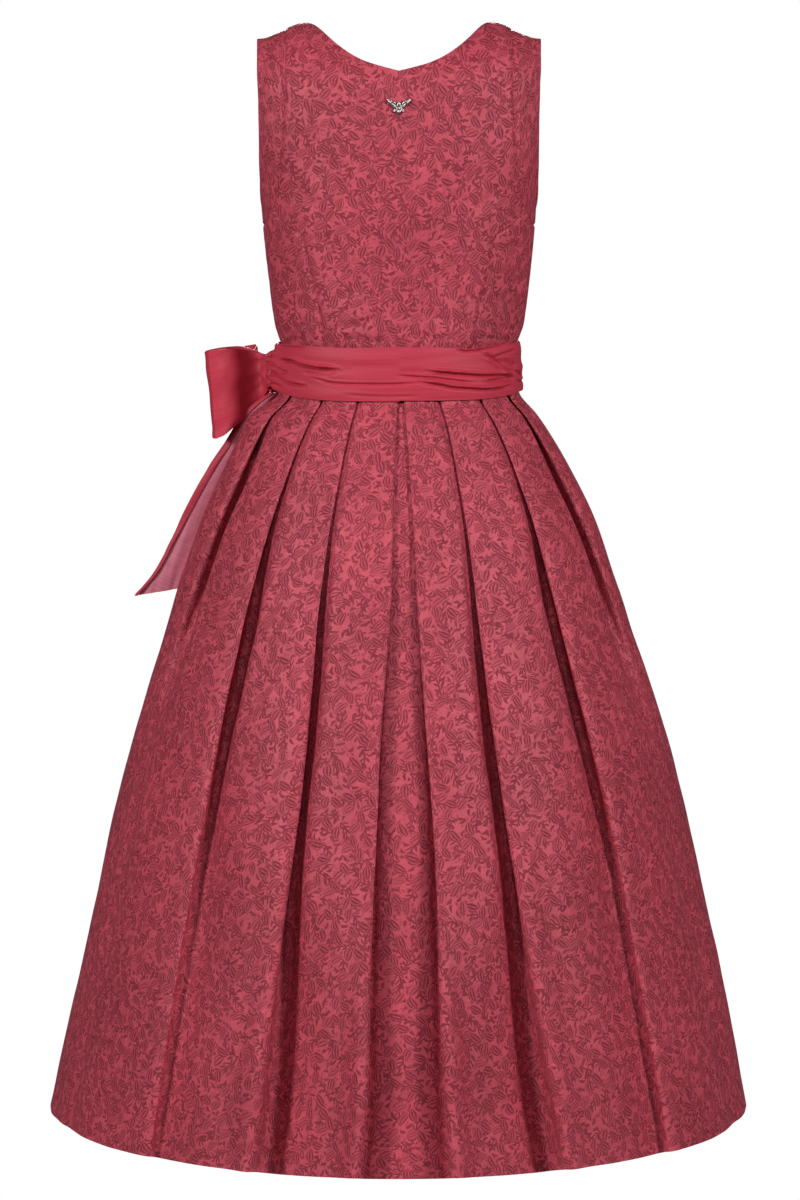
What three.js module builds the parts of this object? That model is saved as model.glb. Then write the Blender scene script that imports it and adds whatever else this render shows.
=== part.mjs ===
// A worn dirndl, standing open as on a figure: a sleeveless brocade dress with a pleated skirt, and its satin
// apron, whose band goes round the waist and ties in a bow on the wearer's left side.
// Millimetres, +Z up, the front faces -Y and the wearer's left is +X. The origin is the middle of the
// shoulder line.

import * as THREE from 'three';

// Driving sizes
const CLOTH = { bodice: 1.6, skirt: 1.3, band: 1.8, ribbon: 1.6, apron: 1.2 };
const SEAM_GAP = 0.36;
const WAIST_Z = -372;
const SHOULDER = { roll: 75, neckX: 99, tipX: 152.2, slope: 19.5, slopeFade: 160 };
const LAYER = 2.6;

// The bodice's level sections: half width, depth to the back and to the front, and how full the corners are
const BODY_ROWS = [
  { z: 0, half: 170, back: 84, front: 84, power: 2.3 },
  { z: -60, half: 169, back: 90, front: 89, power: 2.3 },
  { z: -125, half: 163, back: 95, front: 106, power: 2.3 },
  { z: -170, half: 152.5, back: 96, front: 119, power: 2.3 },
  { z: -190, half: 148.4, back: 96, front: 122, power: 2.3 },
  { z: -217, half: 146.3, back: 95, front: 122, power: 2.25 },
  { z: -241, half: 144, back: 94, front: 119, power: 2.2 },
  { z: -273, half: 140.4, back: 92.5, front: 111, power: 2.13 },
  { z: -304, half: 136.8, back: 91.5, front: 101, power: 2.06 },
  { z: -326, half: 133.4, back: 91, front: 94, power: 2.02 },
  { z: -338, half: 129.5, back: 89.7, front: 89.9, power: 2 },
  { z: -345, half: 126.9, back: 88.2, front: 88.1, power: 2 },
  { z: WAIST_Z, half: 126, back: 87.6, front: 87.6, power: 2 },
];

// Seams and edges of the bodice, as places seen from the back or the front. A z of 0 is on the shoulder line.
const BACK_NECK = [
  { x: 99, z: 0 }, { x: 64, z: -24 }, { x: 27, z: -44 }, { x: 0, z: -50 },
];
const FRONT_NECK = [
  { x: 99, z: 0 }, { x: 97, z: -50 }, { x: 86, z: -96 }, { x: 62, z: -132 }, { x: 30, z: -150 },
  { x: 0, z: -155 },
];
const BACK_ARMHOLE = [
  { x: 152.2, z: 0 }, { x: 151.1, z: -41 }, { x: 149.7, z: -80 }, { x: 149.1, z: -125 },
  { x: 148.9, z: -159 }, { x: 148.8, z: -178 }, { x: 148.5, z: -187 }, { x: 148.4, z: -190 },
];
const BACK_BAND_SEAM = [
  { x: 121, z: 0 }, { x: 121.5, z: -60 }, { x: 123, z: -112 }, { x: 125, z: -146 }, { x: 129, z: -174 },
  { x: 134, z: -192 },
];
const BACK_BAND_FOOT = [
  { x: 134, z: -192 }, { x: 139, z: -202 }, { x: 144.5, z: -213 }, { x: 146.3, z: -217 },
];
const FRONT_ARMHOLE = [
  { x: 152.2, z: 0 }, { x: 149, z: -45 }, { x: 144, z: -90 }, { x: 142, z: -130 }, { x: 144.5, z: -158 },
  { x: 147, z: -176 }, { x: 148.2, z: -187 }, { x: 148.4, z: -190 },
];
const FRONT_BAND_SEAM = [
  { x: 121, z: 0 }, { x: 120, z: -50 }, { x: 117, z: -95 }, { x: 117, z: -130 },
];
const FRONT_BAND_FOOT = [
  { x: 117, z: -130 }, { x: 122, z: -162 }, { x: 132, z: -190 }, { x: 142, z: -211 }, { x: 146.3, z: -217 },
];
// The panel seams run down from the armhole band to the waist, row by row beside the side seam
const PANEL_SEAMS = [
  { backX: 134, backZ: -192, frontX: 117, frontZ: -130, sideZ: -217 },
  { backX: 131, backZ: -204, frontX: 114, frontZ: -150, sideZ: -222 },
  { backX: 119, backZ: -215, frontX: 108, frontZ: -172, sideZ: -228 },
  { backX: 106, backZ: -223, frontX: 98, frontZ: -200, sideZ: -237 },
  { backX: 97, backZ: -251, frontX: 88, frontZ: -230, sideZ: -255 },
  { backX: 90, backZ: -280, frontX: 79, frontZ: -266, sideZ: -281 },
  { backX: 84.5, backZ: -304, frontX: 71, frontZ: -299, sideZ: -304 },
  { backX: 81, backZ: -326, frontX: 66, frontZ: -326, sideZ: -326 },
  { backX: 79.5, backZ: -338, frontX: 64, frontZ: -338, sideZ: -338 },
  { backX: 78, backZ: -345, frontX: 63, frontZ: -345, sideZ: -345 },
  { backX: 77, backZ: WAIST_Z, frontX: 62, frontZ: WAIST_Z, sideZ: WAIST_Z },
];

// The skirt's level sections, and how far its left side puffs out under the bow
const SKIRT_ROWS = [
  { z: WAIST_Z, half: 127.4, back: 89, front: 88, puff: 0 },
  { z: -386, half: 128, back: 89.4, front: 88.6, puff: 0 },
  { z: -400, half: 130.6, back: 91, front: 90, puff: 0 },
  { z: -421, half: 148.5, back: 106, front: 104, puff: 12 },
  { z: -449, half: 167, back: 120, front: 117, puff: 7 },
  { z: -485, half: 186.5, back: 138, front: 134, puff: 3 },
  { z: -530, half: 208, back: 157, front: 153, puff: 1 },
  { z: -590, half: 230, back: 180, front: 175, puff: 0 },
  { z: -660, half: 253, back: 205, front: 198, puff: 0 },
  { z: -745, half: 280, back: 234, front: 226, puff: 0 },
  { z: -840, half: 305, back: 262, front: 253, puff: 0 },
  { z: -940, half: 327.5, back: 288, front: 277, puff: 0 },
  { z: -1060, half: 354.5, back: 315, front: 303, puff: 0 },
  { z: -1185, half: 380, back: 334, front: 322, puff: 0 },
];

// The skirt's folds, by the turn round the figure in degrees from the centre of the back, positive to the
// wearer's left. lean is +1 where the cloth runs on towards the left from the folded edge. Each fold lies
// flat down to its flatTo, stands open as a deep recess at its deepAt, and is a soft valley from its softFrom.
const CENTRE_FOLD = { centre: true, flatTo: -440, deepAt: -760, softFrom: -1150 };
const FOLDS = [
  { waist: -155, hip: -155, hem: -155, lean: 1, flatTo: -430, deepAt: -620, softFrom: -940, faces: 2 },
  { waist: -130, hip: -129, hem: -128, lean: 1, flatTo: -430, deepAt: -600, softFrom: -900, faces: 2 },
  { waist: -105, hip: -104, hem: -103, lean: 1, flatTo: -430, deepAt: -560, softFrom: -820, faces: 4 },
  { waist: -67.5, hip: -72, hem: -76, lean: -1, flatTo: -408, deepAt: -500, softFrom: -760, faces: 3 },
  { waist: -43, hip: -45, hem: -49, lean: -1, flatTo: -430, deepAt: -690, softFrom: -960, faces: 3 },
  { waist: -20.5, hip: -20.5, hem: -27.5, lean: -1, flatTo: -480, deepAt: -790, softFrom: -1120, faces: 3 },
  { ...CENTRE_FOLD, waist: -2.6, hip: -5, hem: -8.4, lean: -1, faces: 1 },
  { ...CENTRE_FOLD, waist: 0.9, hip: 2.6, hem: 6.4, lean: 1, faces: 3 },
  { waist: 20.7, hip: 20.5, hem: 23.6, lean: 1, flatTo: -480, deepAt: -790, softFrom: -1120, faces: 3 },
  { waist: 40, hip: 42, hem: 43.5, lean: 1, flatTo: -430, deepAt: -690, softFrom: -960, faces: 3 },
  { waist: 66.7, hip: 68.5, hem: 72, lean: 1, flatTo: -408, deepAt: -500, softFrom: -760, faces: 4 },
  { waist: 105, hip: 104, hem: 103, lean: -1, flatTo: -430, deepAt: -560, softFrom: -820, faces: 2 },
  { waist: 130, hip: 129, hem: 128, lean: -1, flatTo: -430, deepAt: -600, softFrom: -900, faces: 2 },
  { waist: 155, hip: 155, hem: 155, lean: -1, flatTo: -430, deepAt: -620, softFrom: -940, faces: 2 },
];
const PUFF = { turn: 84, spread: 17 };
const HIP_Z = -560;
const HEM_Z = -1185;

// One fold's section, in the order of the cloth: how far along from the folded edge and how far out of the
// outer face, where it lies flat, where it stands open, and where it is a soft valley
const FOLD_SECTION = [
  { flat: [-9, -0.6], deep: [-25, -1.5], soft: [-46, -0.5] },
  { flat: [-1, -2 * LAYER], deep: [-11, -13], soft: [-27, -6] },
  { flat: [26, -2 * LAYER], deep: [5, -21], soft: [-13, -11.5] },
  { flat: [28, -1.5 * LAYER], deep: [10.5, -18.5], soft: [-1, -13.5] },
  { flat: [26, -LAYER], deep: [8.5, -12], soft: [8, -11] },
  { flat: [0.9, -LAYER], deep: [1.5, -6.5], soft: [16, -6.5] },
  { flat: [-0.9, -0.5 * LAYER], deep: [-1.2, -2], soft: [23, -2.6] },
  { flat: [0.9, 0], deep: [3.5, 1.2], soft: [33, 0.8] },
];
// The two folds at the centre of the back face each other over one shared recess
const CENTRE_SECTION = [
  { flat: [0.3, -2 * LAYER], deep: [-5, -9.5], soft: [-18, -9] },
  { flat: [24, -2 * LAYER], deep: [6, -14.5], soft: [-9, -12.5] },
  { flat: [26, -1.5 * LAYER], deep: [10, -12], soft: [-2, -12] },
  { flat: [24, -LAYER], deep: [7.5, -8], soft: [4, -9] },
  { flat: [0.9, -LAYER], deep: [1.2, -4.6], soft: [10, -5] },
  { flat: [-0.9, -0.5 * LAYER], deep: [-1.1, -1.4], soft: [16, -1.8] },
  { flat: [0.9, 0], deep: [3.2, 1], soft: [26, 1.2] },
];
const CENTRE_RECESS = { flat: -2 * LAYER, deep: -8.5, soft: -6 };
const FACE_CROWN = { flat: 0.4, deep: 2.5, soft: 3.5 };

// The satin band round the waist, with its lying creases: height, outer half width and depth
const BAND_ROWS = [
  { z: -342.5, half: 131.4, depth: 92 },
  { z: -350, half: 133, depth: 93.4 },
  { z: -357, half: 132, depth: 92.5 },
  { z: -366, half: 134.4, depth: 94.4 },
  { z: -372, half: 132.6, depth: 93 },
  { z: -381, half: 136, depth: 95.6 },
  { z: -389, half: 134.2, depth: 94.2 },
  { z: -400, half: 134.8, depth: 95 },
];
const BAND_COLUMNS = 44;

// The bow: where it sits, the wrapped knot, and one ribbon loop by its path in plan and its two edges
const BOW = { turn: 105, z: -376, seatZ: -381, rootGap: 0.45 };
const KNOT = { halfWide: 16, halfHigh: 23, height: 18.5, rim: 2.5, columns: 10, rows: 8, seatRadius: 105 };
const LOOP_ROWS = [
  { out: 0.4, along: 17.6, top: -357, bottom: -394 },
  { out: 11, along: 18.5, top: -356, bottom: -397 },
  { out: 22, along: 23, top: -354, bottom: -404 },
  { out: 33, along: 31, top: -351.5, bottom: -419 },
  { out: 43, along: 43, top: -350, bottom: -434 },
  { out: 52, along: 53, top: -350, bottom: -444 },
  { out: 61, along: 54, top: -352.5, bottom: -447 },
  { out: 67, along: 46, top: -354.5, bottom: -446 },
  { out: 68, along: 35, top: -353, bottom: -443 },
  { out: 58, along: 21, top: -350, bottom: -436 },
  { out: 43, along: 10, top: -350.5, bottom: -422 },
  { out: 30, along: 4.5, top: -353.5, bottom: -404 },
  { out: 21.5, along: 3, top: -357, bottom: -396 },
];
const LOOP = { lean: 9, reach: 68, steps: 2, across: 4, middleOut: 42, middleAlong: 30 };
const FRONT_LOOP = { side: -1, scale: 0.97 };
const BACK_LOOP = { side: 1, scale: 1 };

// The tail that hangs at the side: its edge beside the skirt and its outer edge
const BACK_TAIL_ROWS = [
  { z: -399.8, inX: 131.5, outX: 140, y: -26 },
  { z: -408, inX: 140.5, outX: 153, y: -24 },
  { z: -421, inX: 153, outX: 169, y: -22 },
  { z: -449, inX: 169.5, outX: 187, y: -22 },
  { z: -479, inX: 186, outX: 207, y: -22 },
  { z: -522, inX: 207, outX: 231, y: -22 },
  { z: -558, inX: 221.5, outX: 248, y: -22 },
  { z: -598, inX: 236, outX: 271, y: -22 },
  { z: -614, inX: 241, outX: 289, y: -22, tipDrop: 8 },
];
const BACK_TAIL = { across: 3, bulge: 3 };
const FRONT_TAIL = {
  topTurn: 112, footTurn: 121, footZ: -640, halfTop: 9, halfFoot: 27, topGap: 0.7,
  standOff: 10, standOffGain: 4, ripple: 1.5, ripples: 1.5, rows: 7, across: 4,
};

// The apron, gathered into the band over the front of the skirt
const APRON = { fromTurn: 115, toTurn: 245, topZ: -400.4, hemZ: -1125, waves: 9, columnsPerWave: 5 };
const APRON_ROWS = [
  { z: -400.4, standOff: 2.8, wave: 0.4 },
  { z: -421, standOff: 4.5, wave: 1 },
  { z: -470, standOff: 6, wave: 2 },
  { z: -560, standOff: 6.5, wave: 3 },
  { z: -680, standOff: 7, wave: 4 },
  { z: -820, standOff: 8, wave: 5.5 },
  { z: -970, standOff: 9, wave: 6.5 },
  { z: -1125, standOff: 10, wave: 7 },
];

// The small silver ornament under the neckline: a flower between two leaves
const ORNAMENT = {
  z: -91, thick: 1.6, petals: 6, flowerR: 7.4, petalDip: 1.9, leafLong: 7.5, leafWide: 3.1, gap: 0.35,
  steps: 72,
};

// Finishes
const MATERIALS = {
  brocade: new THREE.MeshStandardMaterial({ name: 'brocade', color: 0xb04858, roughness: 0.62 }),
  satin: new THREE.MeshStandardMaterial({ name: 'satin', color: 0xa83a4c, roughness: 0.38 }),
  silver: new THREE.MeshStandardMaterial({ name: 'silver', color: 0xcfc4c4, roughness: 0.3, metalness: 1 }),
};

const radians = THREE.MathUtils.degToRad;
const degrees = THREE.MathUtils.radToDeg;
const mix = THREE.MathUtils.lerp;
const smooth = (value, low, high) => THREE.MathUtils.smoothstep(value, low, high);

// A table's column at a height, on a smooth curve through its rows, which go down
function columnAt(rows, column, z) {
  const last = rows.length - 1;
  if (z >= rows[0].z) return rows[0][column];
  if (z <= rows[last].z) return rows[last][column];
  let i = 0;
  while (rows[i + 1].z > z) i += 1;
  const slope = (a, b) => (rows[b][column] - rows[a][column]) / (rows[b].z - rows[a].z);
  const own = slope(i, i + 1);
  const limit = (s) => (s * own <= 0 ? 0 : Math.sign(own) * Math.min(Math.abs(s), 3 * Math.abs(own)));
  const m0 = limit(i > 0 ? (slope(i - 1, i) + own) / 2 : own);
  const m1 = limit(i + 2 <= last ? (own + slope(i + 1, i + 2)) / 2 : own);
  const span = rows[i + 1].z - rows[i].z;
  const t = (z - rows[i].z) / span;
  const [t2, t3] = [t * t, t * t * t];
  return (2 * t3 - 3 * t2 + 1) * rows[i][column] + (t3 - 2 * t2 + t) * span * m0
    + (3 * t2 - 2 * t3) * rows[i + 1][column] + (t3 - t2) * span * m1;
}

// A wall of cloth: the middle surface as rows of points with their normals, thickened to both sides and
// closed round its edges. A closed grid joins its last column to its first.
function clothWall(grid, normals, thickness, closed = false) {
  const rows = grid.length;
  const columns = grid[0].length;
  const half = thickness / 2;
  const points = [];
  const moved = (p, normal, offset) => p.clone().addScaledVector(normal, offset);
  for (const offset of [half, -half]) {
    grid.forEach((row, j) => row.forEach((p, i) => points.push(moved(p, normals[j][i], offset))));
  }
  const at = (j, i) => j * columns + (i % columns);
  const face = [];
  for (let j = 0; j < rows - 1; j += 1) {
    for (let i = 0; i < (closed ? columns : columns - 1); i += 1) {
      face.push([at(j, i), at(j, i + 1), at(j + 1, i + 1)], [at(j, i), at(j + 1, i + 1), at(j + 1, i)]);
    }
  }
  let agree = 0;
  for (const [a, b, c] of face) {
    const side = new THREE.Vector3().subVectors(points[b], points[a]);
    side.cross(new THREE.Vector3().subVectors(points[c], points[a]));
    agree += side.dot(normals[Math.floor(a / columns)][a % columns]);
  }
  const outer = agree > 0 ? face : face.map(([a, b, c]) => [a, c, b]);
  const count = rows * columns;
  const edges = new Map();
  outer.forEach(([a, b, c]) => [[a, b], [b, c], [c, a]].forEach(([p, q]) => edges.set(`${p},${q}`, [p, q])));
  const triangles = [...outer, ...outer.map(([a, b, c]) => [a + count, c + count, b + count])];
  for (const [p, q] of edges.values()) {
    if (!edges.has(`${q},${p}`)) triangles.push([q, p, p + count], [q, p + count, q + count]);
  }
  const geometry = new THREE.BufferGeometry();
  geometry.setAttribute('position', new THREE.Float32BufferAttribute(points.flatMap((p) => p.toArray()), 3));
  geometry.setIndex(triangles.flat());
  geometry.computeVertexNormals();
  return geometry;
}

// Normals of a grid by its neighbours, turned to the side that faces away from the figure
function gridNormals(grid, closed, outwardAt) {
  const columns = grid[0].length;
  return grid.map((row, j) => row.map((p, i) => {
    const left = closed ? row[(i + columns - 1) % columns] : row[Math.max(i - 1, 0)];
    const right = closed ? row[(i + 1) % columns] : row[Math.min(i + 1, columns - 1)];
    const up = grid[Math.max(j - 1, 0)][i];
    const down = grid[Math.min(j + 1, grid.length - 1)][i];
    const along = new THREE.Vector3().subVectors(right, left);
    const normal = along.cross(new THREE.Vector3().subVectors(down, up)).normalize();
    return normal.dot(outwardAt(p, j, i)) < 0 ? normal.negate() : normal;
  }));
}

// The body's surface, by the turn round the figure in degrees and the drop along it from the shoulder line
function bodyPoint(turn, drop) {
  const { roll, neckX, tipX, slope, slopeFade } = SHOULDER;
  const phi = Math.min(drop / roll, Math.PI / 2);
  const height = drop < roll * Math.PI / 2 ? roll * (1 - Math.cos(phi)) : drop - roll * (Math.PI / 2 - 1);
  const angle = radians(turn);
  const power = 2 / columnAt(BODY_ROWS, 'power', -height);
  const half = columnAt(BODY_ROWS, 'half', -height);
  const depth = columnAt(BODY_ROWS, Math.cos(angle) > 0 ? 'back' : 'front', -height);
  const x = Math.sign(Math.sin(angle)) * half * Math.abs(Math.sin(angle)) ** power;
  const y = Math.sign(Math.cos(angle)) * depth * Math.abs(Math.cos(angle)) ** power * Math.sin(phi);
  const fade = Math.max(0, 1 - drop / slopeFade) ** 2;
  return new THREE.Vector3(x, y, -height - slope * smooth(Math.abs(x), neckX, tipX) * fade);
}

function bodyNormal(turn, drop) {
  const [da, dd] = [0.4, 0.5];
  const along = new THREE.Vector3().subVectors(bodyPoint(turn + da, drop), bodyPoint(turn - da, drop));
  const high = Math.max(drop - dd, 0);
  const down = new THREE.Vector3().subVectors(bodyPoint(turn, drop + dd), bodyPoint(turn, high));
  return along.cross(down).normalize();
}

// The turn and drop of a place seen from the back or the front
function bodyPlace({ x, z }, front) {
  const turnAt = (drop) => {
    const high = drop < SHOULDER.roll * Math.PI / 2
      ? SHOULDER.roll * (1 - Math.cos(drop / SHOULDER.roll)) : drop - SHOULDER.roll * (Math.PI / 2 - 1);
    const share = Math.min(x / columnAt(BODY_ROWS, 'half', -high), 1);
    const turn = degrees(Math.asin(share ** (columnAt(BODY_ROWS, 'power', -high) / 2)));
    return front ? 180 - turn : turn;
  };
  let [low, high] = [0, 500];
  for (let step = 0; step < 40 && z < 0; step += 1) {
    const middle = (low + high) / 2;
    if (bodyPoint(turnAt(middle), middle).z > z) low = middle;
    else high = middle;
  }
  const drop = z < 0 ? (low + high) / 2 : 0;
  return new THREE.Vector2(turnAt(drop), drop);
}

// A seam's stations, evenly spaced on a smooth curve through its table
function stations(rows, count, front) {
  const places = rows.map((row) => bodyPlace(row, front));
  const curve = new THREE.SplineCurve(places);
  return curve.getSpacedPoints(count);
}

const reversed = (list) => [...list].reverse();
const joined = (first, ...others) => others.reduce((all, list) => [...all, ...list.slice(1)], first);
const mirrored = (list) => list.map((p) => new THREE.Vector2(-p.x, p.y));

// Level stations round the body between two places
function levelStations(from, to, count) {
  return Array.from({ length: count + 1 }, (_, i) => new THREE.Vector2().lerpVectors(from, to, i / count));
}

// A panel between four seams, filled by blending them, and kept half a gap inside each
function bodyPanel(top, bottom, left, right) {
  const [nu, nv] = [top.length - 1, left.length - 1];
  const place = (i, j) => {
    const [u, v] = [i / nu, j / nv];
    const blend = (key) => {
      const between = (from, to, share) => mix(from[key], to[key], share);
      const corners = mix(between(top[0], top[nu], u), between(bottom[0], bottom[nu], u), v);
      return between(top[i], bottom[i], v) + between(left[j], right[j], u) - corners;
    };
    return new THREE.Vector2(blend('x'), blend('y'));
  };
  const places = left.map((_, j) => top.map((__, i) => place(i, j)));
  const grid = places.map((row) => row.map((p) => bodyPoint(p.x, p.y)));
  const normals = places.map((row) => row.map((p) => bodyNormal(p.x, p.y)));
  return clothWall(insetEdges(grid), normals, CLOTH.bodice);
}

// Moves a grid's four edges inwards by half the seam gap
function insetEdges(grid) {
  const [rows, columns] = [grid.length, grid[0].length];
  const moved = grid.map((row) => row.map((p) => p.clone()));
  const pull = (j, i, dj, di, tj, ti) => {
    const inward = new THREE.Vector3().subVectors(grid[j + dj][i + di], grid[j][i]);
    const a = grid[THREE.MathUtils.clamp(j + tj, 0, rows - 1)][THREE.MathUtils.clamp(i + ti, 0, columns - 1)];
    const b = grid[THREE.MathUtils.clamp(j - tj, 0, rows - 1)][THREE.MathUtils.clamp(i - ti, 0, columns - 1)];
    const edge = new THREE.Vector3().subVectors(a, b).normalize();
    inward.addScaledVector(edge, -inward.dot(edge)).normalize();
    moved[j][i].addScaledVector(inward, SEAM_GAP / 2);
  };
  for (let i = 0; i < columns; i += 1) {
    pull(0, i, 1, 0, 0, 1);
    pull(rows - 1, i, -1, 0, 0, 1);
  }
  for (let j = 0; j < rows; j += 1) {
    pull(j, 0, 0, 1, 1, 0);
    pull(j, columns - 1, 0, -1, 1, 0);
  }
  return moved;
}

// The bodice's seams, as stations shared by the panels on both sides of each
const SEAMS = (() => {
  const backBand = stations(BACK_BAND_SEAM, 7, false);
  const backFoot = stations(BACK_BAND_FOOT, 4, false);
  const frontBand = stations(FRONT_BAND_SEAM, 5, true);
  const frontFoot = stations(FRONT_BAND_FOOT, 5, true);
  const backPanel = PANEL_SEAMS.map((row) => bodyPlace({ x: row.backX, z: row.backZ }, false));
  const frontPanel = PANEL_SEAMS.map((row) => bodyPlace({ x: row.frontX, z: row.frontZ }, true));
  const side = PANEL_SEAMS.map((row) => bodyPlace({ x: 1e3, z: row.sideZ }, false));
  const ridge = (from, to, front) => levelStations(bodyPlace({ x: from, z: 0 }, front),
    bodyPlace({ x: to, z: 0 }, front), 2);
  return {
    backBand, backFoot, frontBand, frontFoot, backPanel, frontPanel, side,
    backRidge: ridge(121, 99, false), frontRidge: ridge(99, 121, true),
    backNeck: stations(BACK_NECK, 6, false), frontNeck: stations(FRONT_NECK, 8, true),
  };
})();

function backPanelGeometry() {
  const halfTop = joined(SEAMS.backRidge, SEAMS.backNeck);
  const top = joined(halfTop, mirrored(reversed(halfTop)));
  const left = joined(SEAMS.backBand, SEAMS.backPanel);
  const foot = left.at(-1);
  const bottom = levelStations(foot, new THREE.Vector2(-foot.x, foot.y), top.length - 1);
  return bodyPanel(top, bottom, left, mirrored(left));
}

function backSideGeometry(side) {
  const bottom = levelStations(SEAMS.backPanel.at(-1), SEAMS.side.at(-1), SEAMS.backFoot.length - 1);
  return sidedPanel(side, SEAMS.backFoot, bottom, SEAMS.backPanel, SEAMS.side);
}

function frontSideGeometry(side) {
  const bottom = levelStations(SEAMS.frontPanel.at(-1), SEAMS.side.at(-1), SEAMS.frontFoot.length - 1);
  return sidedPanel(side, SEAMS.frontFoot, bottom, SEAMS.frontPanel, SEAMS.side);
}

function frontPanelGeometry(side) {
  const outer = joined(SEAMS.frontBand, SEAMS.frontPanel);
  const below = outer.length - SEAMS.frontNeck.length;
  const centreFoot = bodyPlace({ x: 0, z: WAIST_Z }, true);
  const inner = joined(SEAMS.frontNeck, levelStations(SEAMS.frontNeck.at(-1), centreFoot, below));
  const bottom = levelStations(centreFoot, outer.at(-1), SEAMS.frontRidge.length - 1);
  return sidedPanel(side, SEAMS.frontRidge, bottom, inner, outer);
}

// A panel on the wearer's left, or its mirror image on the right
function sidedPanel(side, ...seams) {
  return bodyPanel(...(side > 0 ? seams : seams.map(mirrored)));
}

// The band round an armhole, from the shoulder down the back, under the arm and up the front
function armholeBandGeometry(side) {
  const seamBack = joined(SEAMS.backBand, SEAMS.backFoot);
  const seamFront = joined(SEAMS.frontBand, SEAMS.frontFoot);
  const edgeBack = stations(BACK_ARMHOLE, seamBack.length - 1, false);
  const edgeFront = stations(FRONT_ARMHOLE, seamFront.length - 1, true);
  const around = (back, front) => [...back, ...reversed(front).slice(1, -1)];
  const [edge, seam] = [around(edgeBack, edgeFront), around(seamBack, seamFront)];
  const acrossShares = [0, 0.5, 1];
  const place = (share, i) => {
    const p = new THREE.Vector2().lerpVectors(edge[i], seam[i], share);
    return side > 0 ? p : new THREE.Vector2(-p.x, p.y);
  };
  const places = acrossShares.map((share) => edge.map((_, i) => place(share, i)));
  const grid = places.map((row) => row.map((p) => bodyPoint(p.x, p.y)));
  const normals = places.map((row) => row.map((p) => bodyNormal(p.x, p.y)));
  const last = grid.length - 1;
  grid[last] = grid[last].map((p, i) => {
    const inward = new THREE.Vector3().subVectors(grid[last - 1][i], p).normalize();
    return p.clone().addScaledVector(inward, SEAM_GAP / 2);
  });
  return clothWall(grid, normals, CLOTH.bodice, true);
}

// The skirt's outer face without its folds, and its outward direction in plan
function skirtBase(turn, z) {
  const angle = radians(turn);
  const half = columnAt(SKIRT_ROWS, 'half', z);
  const depth = columnAt(SKIRT_ROWS, Math.cos(angle) > 0 ? 'back' : 'front', z);
  const point = new THREE.Vector3(half * Math.sin(angle), depth * Math.cos(angle), z);
  const outward = new THREE.Vector3(Math.sin(angle) / half, Math.cos(angle) / depth, 0).normalize();
  const perDegree = radians(Math.hypot(half * Math.cos(angle), depth * Math.sin(angle)));
  return { point, outward, perDegree };
}

// How far the cloth stands out of the plain face on the side under the bow
function skirtPuff(turn, z) {
  const off = (turn - PUFF.turn) / PUFF.spread;
  return columnAt(SKIRT_ROWS, 'puff', z) * Math.exp(-off * off);
}

// How a fold lies at a height, as shares of flat, deep and soft
function foldState(fold, z) {
  const opened = smooth(-z, -fold.flatTo, -fold.deepAt);
  const softened = smooth(-z, -fold.deepAt, -fold.softFrom);
  return { flat: (1 - opened), deep: opened * (1 - softened), soft: opened * softened };
}

function blendState(state, values) {
  return state.flat * values.flat + state.deep * values.deep + state.soft * values.soft;
}

// A fold's points at a height, in the order of rising turn
function foldPoints(fold, z) {
  const table = z > HIP_Z ? smooth(-z, -WAIST_Z, -HIP_Z) : 1 + (HIP_Z - z) / (HIP_Z - HEM_Z);
  const turn = table <= 1 ? mix(fold.waist, fold.hip, table) : mix(fold.hip, fold.hem, table - 1);
  const state = foldState(fold, z);
  const { perDegree } = skirtBase(turn, z);
  const section = fold.centre ? CENTRE_SECTION : FOLD_SECTION;
  const points = section.map((row) => {
    const part = (k) => blendState(state, { flat: row.flat[k], deep: row.deep[k], soft: row.soft[k] });
    return { turn: turn + fold.lean * part(0) / perDegree, rise: part(1) };
  });
  return fold.lean > 0 ? points : points.reverse();
}

// One level of the skirt: every point's turn and rise, over the whole round from the left of the centre front
function skirtLevel(z) {
  const level = [];
  FOLDS.forEach((fold, k) => {
    const next = FOLDS[(k + 1) % FOLDS.length];
    const own = foldPoints(fold, z);
    const following = foldPoints(next, z);
    level.push(...own);
    const from = own.at(-1);
    const to = { turn: following[0].turn + (k === FOLDS.length - 1 ? 360 : 0), rise: following[0].rise };
    const recess = fold.centre && next.centre;
    const crown = blendState(foldState(fold, z), recess ? CENTRE_RECESS : FACE_CROWN);
    for (let i = 1; i <= fold.faces; i += 1) {
      const t = i / (fold.faces + 1);
      const swell = mix(from.rise, to.rise, t) + crown * Math.sin(Math.PI * t);
      level.push({ turn: mix(from.turn, to.turn, t), rise: recess ? crown : swell });
    }
  });
  return level;
}

// The whole skirt as one ring of points, and its normals in plan, so that close layers keep their distance
const SKIRT_RING = (() => {
  const grid = SKIRT_ROWS.map(({ z }) => skirtLevel(z).map(({ turn, rise }) => {
    const { point, outward } = skirtBase(turn, z);
    return point.addScaledVector(outward, rise + skirtPuff(turn, z));
  }));
  const normals = grid.map((row) => row.map((p, i) => {
    const before = new THREE.Vector3().subVectors(p, row.at(i - 1)).normalize();
    const after = new THREE.Vector3().subVectors(row[(i + 1) % row.length], p).normalize();
    const along = before.add(after).normalize();
    return new THREE.Vector3(-along.y, along.x, 0);
  }));
  return { grid, normals, size: grid[0].length };
})();

// A quarter of the skirt, between two places in the ring's order
function skirtQuarter(from, to) {
  const slice = (rows) => rows.map((row) => Array.from({ length: to - from + 1 },
    (_, k) => row[(from + k) % SKIRT_RING.size]));
  return clothWall(insetEdges(slice(SKIRT_RING.grid)), slice(SKIRT_RING.normals), CLOTH.skirt);
}

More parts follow.
